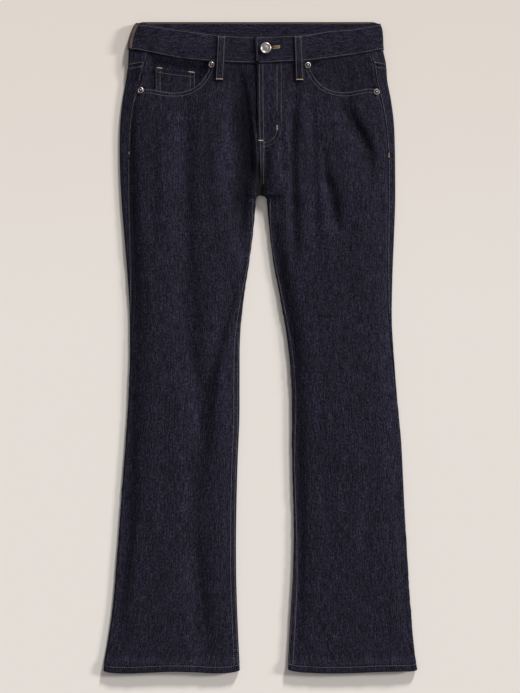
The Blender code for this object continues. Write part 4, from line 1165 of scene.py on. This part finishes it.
def round_slot(downs, across):
    """Rows bent so that two of them follow the buttonhole's edges."""
    at_slot = ramp((across + 4) / 8) * ramp((42 - across) / 10)
    edges = (slot_down(across) - slot_half(across), slot_down(across) + slot_half(across))
    shifts = [at_slot * (edge - downs[row]) for row, edge in zip(SLOT_ROWS, edges)]
    upper, lower = SLOT_ROWS
    last = len(downs) - 1
    made = downs.copy()
    for row in range(len(downs)):
        if row <= upper:
            made[row] += shifts[0] * row / upper
        else:
            made[row] += shifts[1] * (last - row) / (last - lower)
    return made


def back_band():
    """The waistband's back, from side to side in one piece."""
    shares, across_shares = shares_of("band")
    halves = []
    for side in (RIGHT, LEFT):
        length = float(girth(side, BAND_MIDDLE, False))
        row = shared_out(BAND_JOINT - SEAM, -length, length, across_shares.size)
        top = band_edge(side, row, "top")
        downs = top + (band_edge(side, row, "bottom") - top) * shares
        arounds = fit_back(side, row + 0 * shares, downs, length)
        arounds[:, -1] = around_at(side, downs[:, -1], 0.0, front=False)
        downs, arounds = (edged(grid, (0.1, 0.3), 0) for grid in (downs, arounds))
        fall = edge_fall(np.minimum(downs - downs[:1], downs[-1:] - downs), 0.9)
        relief = band_relief(side, downs, arounds)
        outer, inner = (
            skin(side, downs, arounds, out, front=False)
            for out in (BAND_PROUD + relief - fall, -CLOTH + fall)
        )
        halves.append((outer, inner, side * (arounds - arounds[:, -1:]), downs))
    # The left half is added in reverse, without the centre that both share.
    outer, inner, around, down = (
        np.concatenate([right, left[:, -2::-1]], axis=1) for right, left in zip(*halves)
    )
    made = shell("denim_band_back", "waistband_back", outer, inner, (around, down), turn=True)


def facing_drop(side, down, around):
    """How far a facing lies under the front: not at all at the seams that it is sewn into."""
    from_seam = around - seam_at(side, down) - SEAM
    from_band = down - band_edge(side, around, "bottom")
    from_scoop = outer_edge(side, down) + ARC_EXTRA - around - SCOOP_START[side]
    sinks = FACING_SINKS
    rise = (1 - ramp(from_band / sinks["band"])) * faded(from_scoop, sinks["scoop"])
    return FACING_DROP[side] * ramp(from_seam / sinks["side"]) * (1 - rise)


def facing(side):
    """The denim behind the hand pocket's opening."""
    down_shares, shares = shares_of("facing")
    _, bottom = scoop_line(side, 1 - shares, FACING_EDGE, FACING_INSET)
    start = SCOOP_START[side] - FACING_INSET
    downs = bottom + 0 * down_shares
    for _ in range(3):
        first = seam_at(side, downs) + SEAM
        last = outer_edge(side, downs) + ARC_EXTRA - start
        arounds = first + (last - first) * shares
        top = band_edge(side, arounds[:1], "bottom") + SEAM
        downs = top + (bottom - top) * down_shares

    def drop(side, down, around):
        return no_relief(side, down, around) - facing_drop(side, down, around)

    def walls(down, around):
        return -CLOTH - facing_drop(side, down, around)

    panel(*names_of("facing", "pocket_facing", side), side, downs, arounds, relief=drop,
          walls=walls)


def coin_pocket():
    """The small pocket on the right facing, which goes on down behind the front."""
    shape = COIN_POCKET
    down_share, share = shares_of("coin_pocket")
    reach = shape["outer"] + (shape["inner"] - shape["outer"]) * share
    top = shape["top"] + (shape["inner top"] - shape["top"]) * share
    downs = top + (shape["bottom"] - top) * down_share
    arounds = outer_edge(RIGHT, downs) + ARC_EXTRA - reach
    panel("denim_coin_pocket", "coin_pocket", RIGHT, downs, arounds, COIN_POCKET_OUT,
          coin_relief)


def coin_relief(side, down, around):
    shape = COIN_POCKET
    across = across_at(side, down, around)
    reach = side * across
    share = (shape["outer"] - reach) / (shape["outer"] - shape["inner"])
    from_top = down - shape["top"] - (shape["inner top"] - shape["top"]) * share
    total = groove(from_top - COIN_HEM) + ridge(from_top, -2, COIN_HEM + 1, 0.4)
    total += grooves(shape["outer"] - reach, COIN_ROWS)
    total += grooves(reach - shape["inner"], COIN_ROWS)
    return total + pucker(0, across, down, 0.1)


def pocket_places(side, share, down_share):
    """Down and around of a back pocket at shares of its width and height."""
    shape = BACK_POCKET
    inner = shape["inner"] + shape["taper"] * down_share
    outer = shape["outer"] - shape["taper"] * down_share
    reach = outer + (inner - outer) * share
    point = shape["point"] * (1 - np.abs(2 * share - 1))
    top = shape["top"] + shape["slope"] * (reach - shape["inner"])
    downs = top + (shape["sides"] + point) * down_share
    return downs, around_at(side, downs, side * reach, front=False)


def back_pocket(side):
    """A plain patch pocket with a pointed lower edge, moved out from the back's own skin."""
    down_share, share = shares_of("back_pocket")
    downs, arounds = pocket_places(side, share, down_share)
    panel(*names_of("back_pocket", "back_pocket", side), side, downs, arounds,
          (ON_TOP, ON_TOP + CLOTH), pocket_relief, front=False)


def pocket_relief(side, down, around):
    """Stitched sides, pressed in because the pocket rests on the surface."""
    shape = BACK_POCKET
    reach = side * across_at(side, down, around)
    top = shape["top"] + shape["slope"] * (reach - shape["inner"])
    height = shape["sides"] + shape["point"] * 0.5
    down_share = np.clip((down - top) / height, 0, 1)
    inner = shape["inner"] + shape["taper"] * down_share
    outer = shape["outer"] - shape["taper"] * down_share
    total = grooves(reach - inner, POCKET_ROWS, 0.25) + grooves(outer - reach, POCKET_ROWS, 0.25)
    return total + grooves(down - top, POCKET_HEM, 0.25)


def loop_off(side, downs, arounds):
    """How far a belt loop stands off: less below the waistband, and least at its ends."""
    from_seam = downs - band_edge(side, arounds, "bottom")
    off = LOOP_GAP + BAND_PROUD * (1 - faded(from_seam, LOOP_STEP))
    ends = ramp(1 - (downs - downs[0]) / LOOP_END) + ramp(1 - (downs[-1] - downs) / LOOP_END)
    return off - LOOP_PRESSED * ends


def belt_loop(name, side, across, down, to_across, to_down, front):
    """A narrow band that stands off the waistband and is tacked down below it."""
    share, across_share = shares_of("belt_loop")
    sides = (0.5 - across_share) * LOOP_WIDTH
    downs = down + (to_down - down) * share + 0 * sides
    places = across + (to_across - across) * share + side * sides
    arounds = around_at(side, downs, places, front)
    off = loop_off(side, downs, arounds)
    rows_in = LOOP_WIDTH / 2 - np.abs(sides)
    relief = groove(rows_in - LOOP_ROW, 0.35, 1.0) - 0.25 * edge_fall(rows_in, 1.2)
    fall = np.minimum(edge_fall(rows_in, 0.9), 0.8)
    outer = skin(side, downs, arounds, off + LOOP_CLOTH + relief - fall, front)
    inner = skin(side, downs, arounds, off + fall, front)
    made = shell(f"denim_{name}", name, outer, inner, (places, downs))


def fly_shield():
    """The guard behind the zip, level with the right front."""
    shape = FLY_SHIELD
    down_share, share = shares_of("fly_shield")
    downs = shape["top"] + (shape["bottom"] - shape["top"]) * down_share + 0 * share
    start = fly_edge(downs) + SEAM / 2
    end = shape["width"] - shape["taper"] * down_share**3
    across = start + (end - start) * share
    panel("denim_fly_shield", "fly_shield", RIGHT, downs, around_at(RIGHT, downs, across))


def waist_patch():
    """A plain patch on the right back of the waistband, which reaches round the side fold."""
    shares, across_shares = shares_of("patch")
    row = shared_out(PATCH["to"], PATCH["from"], NO_FOLD, across_shares.size)
    top = band_edge(RIGHT, row, "top") + PATCH["margin"]
    bottom = band_edge(RIGHT, row, "bottom") - PATCH["margin"]
    low = BAND_PROUD + 2 * ON_TOP
    panel("patch_board", "waist_patch", RIGHT, top + (bottom - top) * shares, row + 0 * shares,
          (low, low + PATCH["thick"]), patch_relief, slot="patch", looks=(PATCH_LOOK, PATCH_LOOK))


def patch_relief(side, down, around):
    from_top = down - band_edge(side, around, "top") - PATCH["margin"]
    from_bottom = band_edge(side, around, "bottom") - PATCH["margin"] - down
    return groove(from_top - 2) + groove(from_bottom - 2) + groove(PATCH["to"] - around - 2)


# ---- Sewing ----

STITCH = 3.3  # from one stitch to the next
COVER = 0.62  # the share of it that the thread covers
THREAD_RADIUS, TACK_RADIUS, THICK_RADIUS = 0.25, 0.34, 0.42
TACK_THREADS = 15
PRESSED = 0.12  # the least height of a stitch on the underside
# A stitch: rings of six points, and its two tips.
RING_PLACES = (-0.42, 0.0, 0.42)
RING_SIZES = (0.78, 1.0, 0.78)
RING_LIFTS = (-0.35, 0.25, -0.35)
TIP_LIFT = -0.8
RING_POINTS = 6

sewn = {}


def keep_stitches(kind, starts, ends, ups, radius=THREAD_RADIUS):
    """Keeps stitches for the joined mesh of their kind."""
    ups = ups / np.linalg.norm(ups, axis=1, keepdims=True)
    for points in (starts, ends):
        points[:, 2] = np.maximum(points[:, 2], PRESSED)
    sewn.setdefault(kind, []).append((starts, ends, ups, np.full(len(starts), radius)))


def on_skin(side, downs, arounds, out, front=True, step=1):
    """A line of places on the cloth, and the same line a step further out."""
    return [skin(side, downs, arounds, out + more + 0 * downs, front) for more in (0, step)]


def run_along(line):
    """How far along a line each of its points is."""
    return np.concatenate([[0], np.cumsum(np.linalg.norm(np.diff(line, axis=0), axis=1))])


def stitch_row(kind, line, above, middle, half):
    """Stitches of a half length, centred on places along a line."""
    run = run_along(line)

    def at(places, values):
        return np.stack([np.interp(places, run, values[:, i]) for i in range(3)], axis=1)

    ups = at(middle, above) - at(middle, line)
    keep_stitches(kind, at(middle - half, line), at(middle + half, line), ups)


def sew(kind, side, downs, arounds, out=0.0, relief=None, front=True):
    """A row of stitches along a path on the cloth."""
    fine = np.linspace(0, len(downs) - 1, max(8 * len(downs), 240))
    downs, arounds, out = (
        np.interp(fine, np.arange(len(downs)), values)
        for values in np.broadcast_arrays(downs, arounds, out)
    )
    height = out + (relief(side, downs, arounds) if relief else 0.0) + 0.12
    line, above = on_skin(side, downs, arounds, height, front)
    run = run_along(line)[-1]
    count = max(int(run / STITCH), 1)
    middle = (np.arange(count) + 0.5) * run / count
    stitch_row(kind, line, above, middle, run / count * COVER / 2)


def sew_flat(kind, side, line, out, relief):
    """A row of stitches along places across and down on the flat garment's front."""
    line = np.asarray(line, float)
    sew(kind, side, line[:, 1], around_at(side, line[:, 1], line[:, 0]), out, relief)


def bartack(kind, side, across, down, out, length, width, turn=0.0, front=True, relief=None):
    """A dense bar of thread: short stitches side by side. It lies across, unless turned."""
    along = np.linspace(-length / 2, length / 2, TACK_THREADS)
    cos, sin = math.cos(turn), math.sin(turn)
    ends = []
    for shift, aside in ((-0.1, -width / 2), (0.1, width / 2)):
        x = across + (along + shift) * cos - aside * sin
        d = down + (along + shift) * sin + aside * cos
        around = around_at(side, d, x, front)
        lift = out + (relief(side, d, around) if relief else 0.0) + 0.25
        ends.append(on_skin(side, d, around, lift, front))
    keep_stitches(kind, ends[0][0], ends[1][0], ends[0][1] - ends[0][0], TACK_RADIUS)


def make_stitches(kind, name, look):
    """One joined mesh of all the stitches of a kind."""
    starts, ends, ups, radii = (np.concatenate(parts) for parts in zip(*sewn[kind]))
    runs = ends - starts
    ahead = runs / np.linalg.norm(runs, axis=1, keepdims=True)
    beside = np.cross(ahead, ups)
    beside = beside / np.linalg.norm(beside, axis=1, keepdims=True)
    upward = np.cross(beside, ahead)
    middle = (starts + ends) / 2
    angles = np.arange(RING_POINTS) * 2 * math.pi / RING_POINTS
    points = []
    for place, size, lift in zip(RING_PLACES, RING_SIZES, RING_LIFTS):
        for angle in angles:
            sideways = beside * (radii * size * math.cos(angle))[:, None]
            upwards = upward * (radii * (size * math.sin(angle) * 0.8 + lift))[:, None]
            points.append(middle + runs * place + sideways + upwards)
    for place in (-0.5, 0.5):
        points.append(middle + runs * place + upward * (radii * TIP_LIFT)[:, None])
    points = np.stack(points, axis=1)
    offsets = np.arange(len(points))[:, None, None] * points.shape[1]
    faces = []
    for corners in (4, 3):
        each = np.array([face for face in stitch_faces() if len(face) == corners])
        faces += (offsets + each).reshape(-1, corners).tolist()
    object_of(name, points.reshape(-1, 3), faces, (look,))


def stitch_faces():
    """Faces of one stitch: four-sided between its rings, and three-sided at its tips."""
    faces = []
    n, rings = RING_POINTS, len(RING_PLACES)
    for ring in range(rings - 1):
        for i in range(n):
            j = (i + 1) % n
            faces.append((ring * n + i, ring * n + j, (ring + 1) * n + j, (ring + 1) * n + i))
    for i in range(n):
        j = (i + 1) % n
        faces.append((rings * n, j, i))
        faces.append((rings * n + 1, (rings - 1) * n + i, (rings - 1) * n + j))
    return faces


def sew_waistband():
    """Rows along the waistband's edges, and down the lapped end."""
    lap = BAND_LAP_EDGE + 2.5
    for side, end in ((RIGHT, BAND_LAP_EDGE - 1.5), (LEFT, lap)):
        front = np.linspace(BAND_JOINT + 1, float(around_at(side, 40.0, end)), 60)
        back = np.linspace(BAND_JOINT - 2, -float(girth(side, BAND_MIDDLE, False)), 60)
        for kind, arounds, is_front in (("grey", front, True), ("under", back, False)):
            top = band_edge(side, arounds, "top") + BAND_ROWS[0]
            bottom = band_edge(side, arounds, "bottom") - BAND_ROWS[1]
            for downs in (top, bottom):
                sew(kind, side, downs, arounds, BAND_PROUD, band_relief, is_front)
    downs = np.linspace(27.0, 64.0, 12)
    sew("grey", LEFT, downs, around_at(LEFT, downs, lap), BAND_PROUD, band_relief)


def sew_band_inside():
    """The tan row that shows inside the back waistband."""
    for side in (RIGHT, LEFT):
        arounds = np.linspace(-16.0, -float(girth(side, 4.0, False)), 60)
        downs = band_edge(side, arounds, "top") + BAND_ROWS[0]
        line, above = on_skin(side, downs, arounds, -CLOTH - 0.1, front=False, step=-1)
        middle = np.arange(STITCH, run_along(line)[-1], STITCH)
        stitch_row("tan", line, above, middle, 0.43 * STITCH)


def sew_fly():
    """The fly's curved rows, the rows along its edge, and its two bartacks."""
    for row in J_ROWS:
        sew_flat("grey", LEFT, j_line(*row), 0.0, front_relief)
    for row, end in zip(FLY_ROWS, FLY_ROW_ENDS):
        downs = np.linspace(BELOW_BAND, end, 40)
        arounds = girth(LEFT, downs, True) - row * (1 - 0.35 * ramp((downs - 195) / 40))
        sew("grey", LEFT, downs, arounds, 0.0, front_relief)
    bartack("cream", LEFT, 0.6, 191.6, 0.0, 7.0, 1.6, relief=front_relief)
    bartack("cream", LEFT, J_ROWS[0][0], 171.0, 0.0, 7.5, 1.3, math.pi / 2, relief=front_relief)


def sew_pockets():
    """Round the hand pockets, the coin pocket, and the back pockets."""
    for side in (RIGHT, LEFT):
        for row in SCOOP_ROWS:
            line = scoop_edge(side, row)
            below = line[:, 1] > BELOW_BAND
            inside = side * line[:, 0] < outer_edge(side, line[:, 1]) - seam_at(side, line[:, 1])
            sew_flat("grey", side, line[below & inside], 0.0, front_relief)
    shape = COIN_POCKET
    out = COIN_POCKET_OUT[1]
    for row in COIN_ROWS:
        sides = ((shape["outer"] - row, shape["top"]), (shape["inner"] + row, shape["inner top"]))
        for reach, top in sides:
            downs = np.linspace(top + 1.5, 116.0, 12)
            line = np.stack([-reach + 0 * downs, downs], axis=1)
            sew_flat("grey", RIGHT, line, out, coin_relief)
    hem = [(-shape["outer"] + 1, shape["top"] + COIN_HEM), (-137.0, 85.9),
           (-shape["inner"] - 1, shape["inner top"] + COIN_HEM)]
    sew_flat("grey", RIGHT, hem, out, coin_relief)
    for across, down, length in COIN_TACKS:
        bartack("cream", RIGHT, across, down, out, length, 1.4, 0.12, relief=coin_relief)
    for side in (RIGHT, LEFT):
        sew_back_pocket(side)


def sew_back_pocket(side):
    """Two rows round the pocket's sides and point, and two along its hem."""
    out = ON_TOP + CLOTH
    shape = BACK_POCKET
    width = shape["outer"] - shape["inner"]
    for row in POCKET_ROWS:
        inset = row / width
        down_end = 1 - row / (shape["sides"] + shape["point"])
        path = [(inset, 0.015), (inset, down_end - 0.01), (0.5, down_end),
                (1 - inset, down_end - 0.01), (1 - inset, 0.015)]
        places = np.concatenate([np.linspace(a, b, 20) for a, b in zip(path, path[1:])])
        downs, arounds = pocket_places(side, places[:, 0], places[:, 1])
        sew("under", side, downs, arounds, out - 0.2, pocket_relief, front=False)
    for row in POCKET_HEM:
        share = np.linspace(0.01, 0.99, 20)
        downs, arounds = pocket_places(side, share, row / shape["sides"])
        sew("under", side, downs, arounds, out - 0.2, pocket_relief, front=False)


def sew_seams():
    """Side seams, inseams, the yokes' seams and the centre back."""
    for side in (RIGHT, LEFT):
        top = float(band_edge(side, np.array(30.0), "bottom")) + 1.5
        for start, end, count in ((top, SIDE_TACK - 9, 40), (SIDE_TACK + 8, SIDE_ROW_END, 60)):
            downs = np.linspace(start, end, count)
            arounds = seam_at(side, downs) - SIDE_STITCH
            sew("grey", side, downs, arounds, 0.0, back_relief, front=False)
        tack_around = float(seam_at(side, SIDE_TACK)) - SIDE_STITCH
        across = float(skin(side, SIDE_TACK, tack_around, 0.0, False)[0])
        bartack("tan", side, across, SIDE_TACK, 0.0, 9.0, 1.8, math.pi / 2)
        downs = np.linspace(285.0, LENGTH - HEM_DEPTH, 160)
        for row in FELLED_ROWS:
            arounds = girth(side, downs, True) - inseam_at(side, downs) - row
            sew("grey", side, downs, arounds, 0.0, front_relief)
        arounds = np.linspace(float(seam_at(side, 70.0)) - 2.5, -float(girth(side, 100.0, False)),
                              90)
        for row in YOKE_ROWS:
            sew("under", side, yoke_seam(side, arounds) + row, arounds, 0.0, yoke_relief, False)
    downs = np.linspace(YOKE_CENTRE + 2, 274.0, 60)
    for row in FELLED_ROWS:
        sew("under", RIGHT, downs, row - girth(RIGHT, downs, False), 0.0, back_relief, False)


def sew_hems():
    """One row round each hem, on the front and on the back."""
    for side in (RIGHT, LEFT):
        seam, inner = float(seam_at(side, LENGTH)), float(inseam_at(side, LENGTH))
        for way, kind, relief in ((1, "hem", front_relief), (-1, "under", back_relief)):
            front = way == 1
            length = float(girth(side, LENGTH - HEM_STITCH, front))
            arounds = np.linspace(seam + way, way * (length - 1) - inner, 90)
            downs = LENGTH - HEM_STITCH - hem_rise(side, arounds, length)
            sew(kind, side, downs, arounds, 0.0, relief, front)


def sew_loops():
    """Two rows down each belt loop, with a bar of thread at both ends."""
    loops = [(loop, True) for loop in FRONT_LOOPS.values()]
    loops += [(loop, False) for loop in BACK_LOOPS.values()]
    share = np.linspace(0, 1, 40)
    for (side, across, down, to_across, to_down), front in loops:
        downs = down + (to_down - down) * share
        for aside in (LOOP_WIDTH / 2 - LOOP_ROW, LOOP_ROW - LOOP_WIDTH / 2):
            places = across + (to_across - across) * share + aside
            arounds = around_at(side, downs, places, front)
            out = loop_off(side, downs, arounds) + LOOP_CLOTH - 0.35
            sew("grey" if front else "under", side, downs, arounds, out, front=front)
        top_out = LOOP_GAP + BAND_PROUD + LOOP_CLOTH - 0.55
        bartack("top", side, across, down + 3.2, top_out, LOOP_WIDTH - 2, 1.5, front=front)
        bartack("cream" if front else "tan", side, to_across, to_down - 2.0,
                LOOP_GAP + LOOP_CLOTH - 0.65, LOOP_WIDTH - 3, 1.5, front=front)


def sew_patch():
    """One row round the patch, inside its edges."""
    out = BAND_PROUD + 2 * ON_TOP + PATCH["thick"] - 0.1
    inset = PATCH["margin"] + 2
    arounds = np.linspace(PATCH["from"] + 2, PATCH["to"] - 2, 30)
    for which, step in (("top", inset), ("bottom", -inset)):
        sew("tan", RIGHT, band_edge(RIGHT, arounds, which) + step, arounds, out, patch_relief)
    for around in (PATCH["from"] + 2, PATCH["to"] - 2):
        ends = [float(band_edge(RIGHT, np.array(around), which)) for which in ("top", "bottom")]
        downs = np.linspace(ends[0] + inset, ends[1] - inset, 12)
        sew("tan", RIGHT, downs, around + 0 * downs, out, patch_relief)


def sew_buttonhole():
    """Close stitches that stand across the buttonhole's edge, all round it."""
    turn = np.linspace(0, 2 * math.pi, 64, endpoint=False)
    middle = (BUTTONHOLE["from"] + BUTTONHOLE["to"]) / 2
    reach = (BUTTONHOLE["to"] - BUTTONHOLE["from"]) / 2
    x = middle + reach * np.sign(np.cos(turn)) * np.abs(np.cos(turn)) ** 0.7
    half = slot_half(x) * np.sign(np.sin(turn)) * np.minimum(1, 2.2 * np.abs(np.sin(turn)))
    inner = np.stack([x, slot_down(x) + half], axis=1)
    rise = np.sign(np.sin(turn)) * np.minimum(1, 1.6 * np.abs(np.sin(turn)))
    outer = inner + 2.0 * np.stack([0.55 * np.cos(turn), rise], axis=1)
    ends = []
    for across, down in (inner.T, outer.T):
        around = around_at(LEFT, down, across)
        out = BAND_PROUD + band_relief(LEFT, down, around) + 0.25
        ends.append(on_skin(LEFT, down, around, out))
    keep_stitches("tan", ends[0][0], ends[1][0], ends[0][1] - ends[0][0], THICK_RADIUS)


# ---- Metal ----


def turned(name, node, profile, place, normal, look, steps=64):
    """A round piece from its profile of radius and height, both ends on its axis."""
    profile = np.array(profile, float)
    angles = np.arange(steps) * 2 * math.pi / steps
    rings = [np.stack([r * np.cos(angles), r * np.sin(angles), h + 0 * angles], axis=1)
             for r, h in profile[1:-1]]
    points = np.vstack([*rings, [[0, 0, profile[0][1]], [0, 0, profile[-1][1]]]])
    last, tip = (len(rings) - 1) * steps, len(rings) * steps
    around = [(i, (i + 1) % steps) for i in range(steps)]
    faces = [(low + i, low + j, low + steps + j, low + steps + i)
             for low in range(0, last, steps) for i, j in around]
    for i, j in around:
        faces += [(tip, j, i), (tip + 1, last + i, last + j)]
    turn = Vector((0, 0, 1)).rotation_difference(Vector(normal)).to_matrix()
    points = points @ np.array(turn).T + place
    object_of(name, points, faces, (look,), node, sharp=38)


def surface_at(side, across, down, out):
    """A place on the front's skin and the direction it faces."""
    around = around_at(side, down, across)
    low = skin(side, down, around, 0.0)
    high = skin(side, down, around, 1.0)
    return low + (high - low) * out, high - low


def waist_button():
    """A shank button with a dished face between a rolled rim and a low boss."""
    place, _ = surface_at(LEFT, *BUTTON_AT, BAND_PROUD)
    root, _ = surface_at(RIGHT, *BUTTON_AT, BAND_PROUD)
    r, base, top = BUTTON_RADIUS, BUTTON_BASE, BUTTON_TOP
    foot = root[2] - place[2] + 0.35
    profile = [(0, foot), (1.4, foot), (1.4, base), (r - 1.2, base), (r - 0.5, base + 0.25),
               (r - 0.1, base + 0.8), (r, base + 1.4), (r - 0.2, top - 0.45), (r - 0.7, top - 0.08),
               (r - 1.2, top), (r - 1.7, top - 0.15), (r - 2.1, top - 0.5), (r - 2.4, top - 0.75),
               (r - 2.9, top - 0.78), (r - 3.1, top - 0.62), (r - 3.5, top - 0.6),
               (r - 3.7, top - 0.78), (3.4, top - 0.8), (3.1, top - 0.62), (2.6, top - 0.42),
               (1.8, top - 0.3), (0.9, top - 0.24), (0, top - 0.22)]
    turned("button_cap", "waist_button", profile, place, (0, 0, 1), METAL_PALE)


def rivet(name, side, across, down):
    """A ring with a nipple that stands in its dark cup."""
    place, normal = surface_at(side, across, down, 0.35)
    r = RIVET_RADIUS
    ring = [(0, 0), (r, 0), (r, 0.45), (r - 0.25, 0.85), (r - 0.7, 1.15), (r - 1.15, 1.1),
            (r - 1.45, 0.8), (r - 1.6, 0.45), (r - 1.7, 0.35), (0, 0.35)]
    nipple = [(0, 0.36), (1.4, 0.36), (1.35, 0.8), (1.15, 1.3), (0.85, 1.62), (0.4, 1.75),
              (0, 1.78)]
    cup = [(0, 0.355), (3.03, 0.355), (3.03, 0.42), (0, 0.42)]
    turned(f"{name}_ring", name, ring, place, normal, METAL_PALE, 40)
    turned(f"{name}_cup", name, cup, place, normal, METAL_DARK, 32)
    turned(f"{name}_nipple", name, nipple, place, normal, METAL_PALE, 24)


def zip_strip():
    """The closed zip behind the fly: its tapes and two rows of teeth."""
    down_share, share = shares_of("zip")
    downs = FLY_ZIP["top"] + (FLY_ZIP["bottom"] - FLY_ZIP["top"]) * down_share + 0 * share
    arounds = around_at(LEFT, downs, FLY_ZIP["from"] + FLY_ZIP["width"] * share + 0 * downs)
    panel("zip_tape", "fly_zip", LEFT, downs, arounds, FLY_ZIP_OUT,
          lambda side, down, around: 0 * down, looks=(POCKETING, POCKETING))
    starts, ends = [], []
    places = np.arange(76.0, 138.0, 1.6)
    for start, end, shift in ZIP_TEETH:
        down = places + shift
        for x, kept in ((start, starts), (end, ends)):
            out = FLY_ZIP_OUT[1] + 0.1 + 0 * down
            kept.append(skin(LEFT, down, around_at(LEFT, down, x), out))
    ups = np.tile([0.0, 0.0, 1.0], (2 * len(places), 1))
    keep_stitches("zip", np.concatenate(starts), np.concatenate(ends), ups, THICK_RADIUS)


# ---- Making it all ----


def make_cloth():
    for side in (RIGHT, LEFT):
        front_panel(side)
        back_panel(side)
        yoke(side)
        front_band(side)
        facing(side)
        back_pocket(side)
    back_band()
    coin_pocket()
    fly_shield()
    waist_patch()
    for loops, front in ((FRONT_LOOPS, True), (BACK_LOOPS, False)):
        for name, route in loops.items():
            belt_loop(name, *route, front=front)


# The joined meshes of stitches: their kind, name and look.
SEWN_PIECES = (
    ("grey", "stitching_front", THREAD_GREY),
    ("hem", "stitching_hems", THREAD_GREY),
    ("under", "stitching_back", THREAD_GREY),
    ("tan", "stitching_tan", THREAD_TAN),
    ("cream", "bartacks", THREAD_CREAM),
    ("top", "bartacks_dark", THREAD_DARK),
    ("zip", "zip_teeth", METAL_DARK),
)


def make_sewing():
    sew_waistband()
    sew_band_inside()
    sew_fly()
    sew_pockets()
    sew_seams()
    sew_hems()
    sew_loops()
    sew_patch()
    sew_buttonhole()
    for kind, name, look in SEWN_PIECES:
        make_stitches(kind, name, look)


def make_metal():
    waist_button()
    for name, (side, across, down) in RIVETS.items():
        rivet(name, side, across, down)


FLOOR_REACH = 9.0
FLOOR_SPREAD = (0.05, 0.55)  # how far up the picture the floor's colour changes
FLOOR_COLOURS = ((0.768, 0.715, 0.668), (0.735, 0.665, 0.606))


def make_floor():
    """A plain pale surface, far larger than the view."""
    s = Shader("floor")
    place = s.node("ShaderNodeTexCoord").outputs["Object"]
    up = s.node("ShaderNodeSeparateXYZ", {"Vector": place}).outputs[1]
    cloud = s.remap(s.object_noise((1.3, 1.3, 1.3), 1.0), 0.3, 0.7, -0.05, 0.05)
    colour = s.blended(s.maths("ADD", up, cloud), *FLOOR_SPREAD, *FLOOR_COLOURS)
    look = s.set(Base_Color=colour, Roughness=0.9, Specular_IOR_Level=0.1)
    mesh = bpy.data.meshes.new("floor")
    r = FLOOR_REACH
    corners = [(-r, -r, 0), (r, -r, 0), (r, r, 0), (-r, r, 0)]
    mesh.from_pydata(corners, [], [(0, 1, 2, 3)])
    mesh.materials.append(look)
    floor = bpy.data.objects.new("floor", mesh)
    bpy.context.scene.collection.objects.link(floor)


CAMERA_HEIGHT = 3.2
VIEW_LEVEL = 0.008  # the height of the cloth's folded edges
VIEW_LENGTH = 1.1163  # what the picture's long side takes in, at that height
VIEW_CENTRE = (-0.0008, 0.0019)
SENSOR = 36.0


def make_camera():
    """Straight above the jeans, as in the photograph."""
    data = bpy.data.cameras.new("camera")
    data.sensor_width = SENSOR
    data.lens = SENSOR * (CAMERA_HEIGHT - VIEW_LEVEL) / VIEW_LENGTH
    camera = bpy.data.objects.new("camera", data)
    camera.location = (*VIEW_CENTRE, CAMERA_HEIGHT)
    bpy.context.scene.collection.objects.link(camera)
    bpy.context.scene.camera = camera


FLOOR_LIGHT = 1.01  # what the surface is lit with, where nothing shades it
# Each light: the way to it across and up the picture, its elevation, its angular size and its
# share of the surface's light. The rest comes evenly from all round.
LIGHTS = {
    "key": (0.36, 0.93, 17.0, 7.0, 0.40),
    "side": (0.97, 0.25, 17.0, 9.0, 0.28),
}


def make_lights():
    """A low key from the upper right, a broad light from the right, and a pale world."""
    for name, (across, up, elevation, angle, share) in LIGHTS.items():
        rise = math.hypot(across, up) * math.tan(math.radians(elevation))
        data = bpy.data.lights.new(name, "SUN")
        data.energy = share * FLOOR_LIGHT * math.pi / math.sin(math.radians(elevation))
        data.angle = math.radians(angle)
        made = bpy.data.objects.new(name, data)
        made.rotation_euler = Vector((across, up, rise)).to_track_quat("Z", "Y").to_euler()
        bpy.context.scene.collection.objects.link(made)
    world = bpy.data.worlds.new("world")
    world.use_nodes = True
    background = world.node_tree.nodes["Background"]
    background.inputs["Color"].default_value = (1, 1, 1, 1)
    rest = 1 - sum(share for *_, share in LIGHTS.values())
    background.inputs["Strength"].default_value = rest * FLOOR_LIGHT
    bpy.context.scene.world = world
    bpy.context.scene.view_settings.view_transform = "Standard"


make_camera()
make_lights()
make_floor()
make_cloth()
zip_strip()
make_sewing()
make_metal()
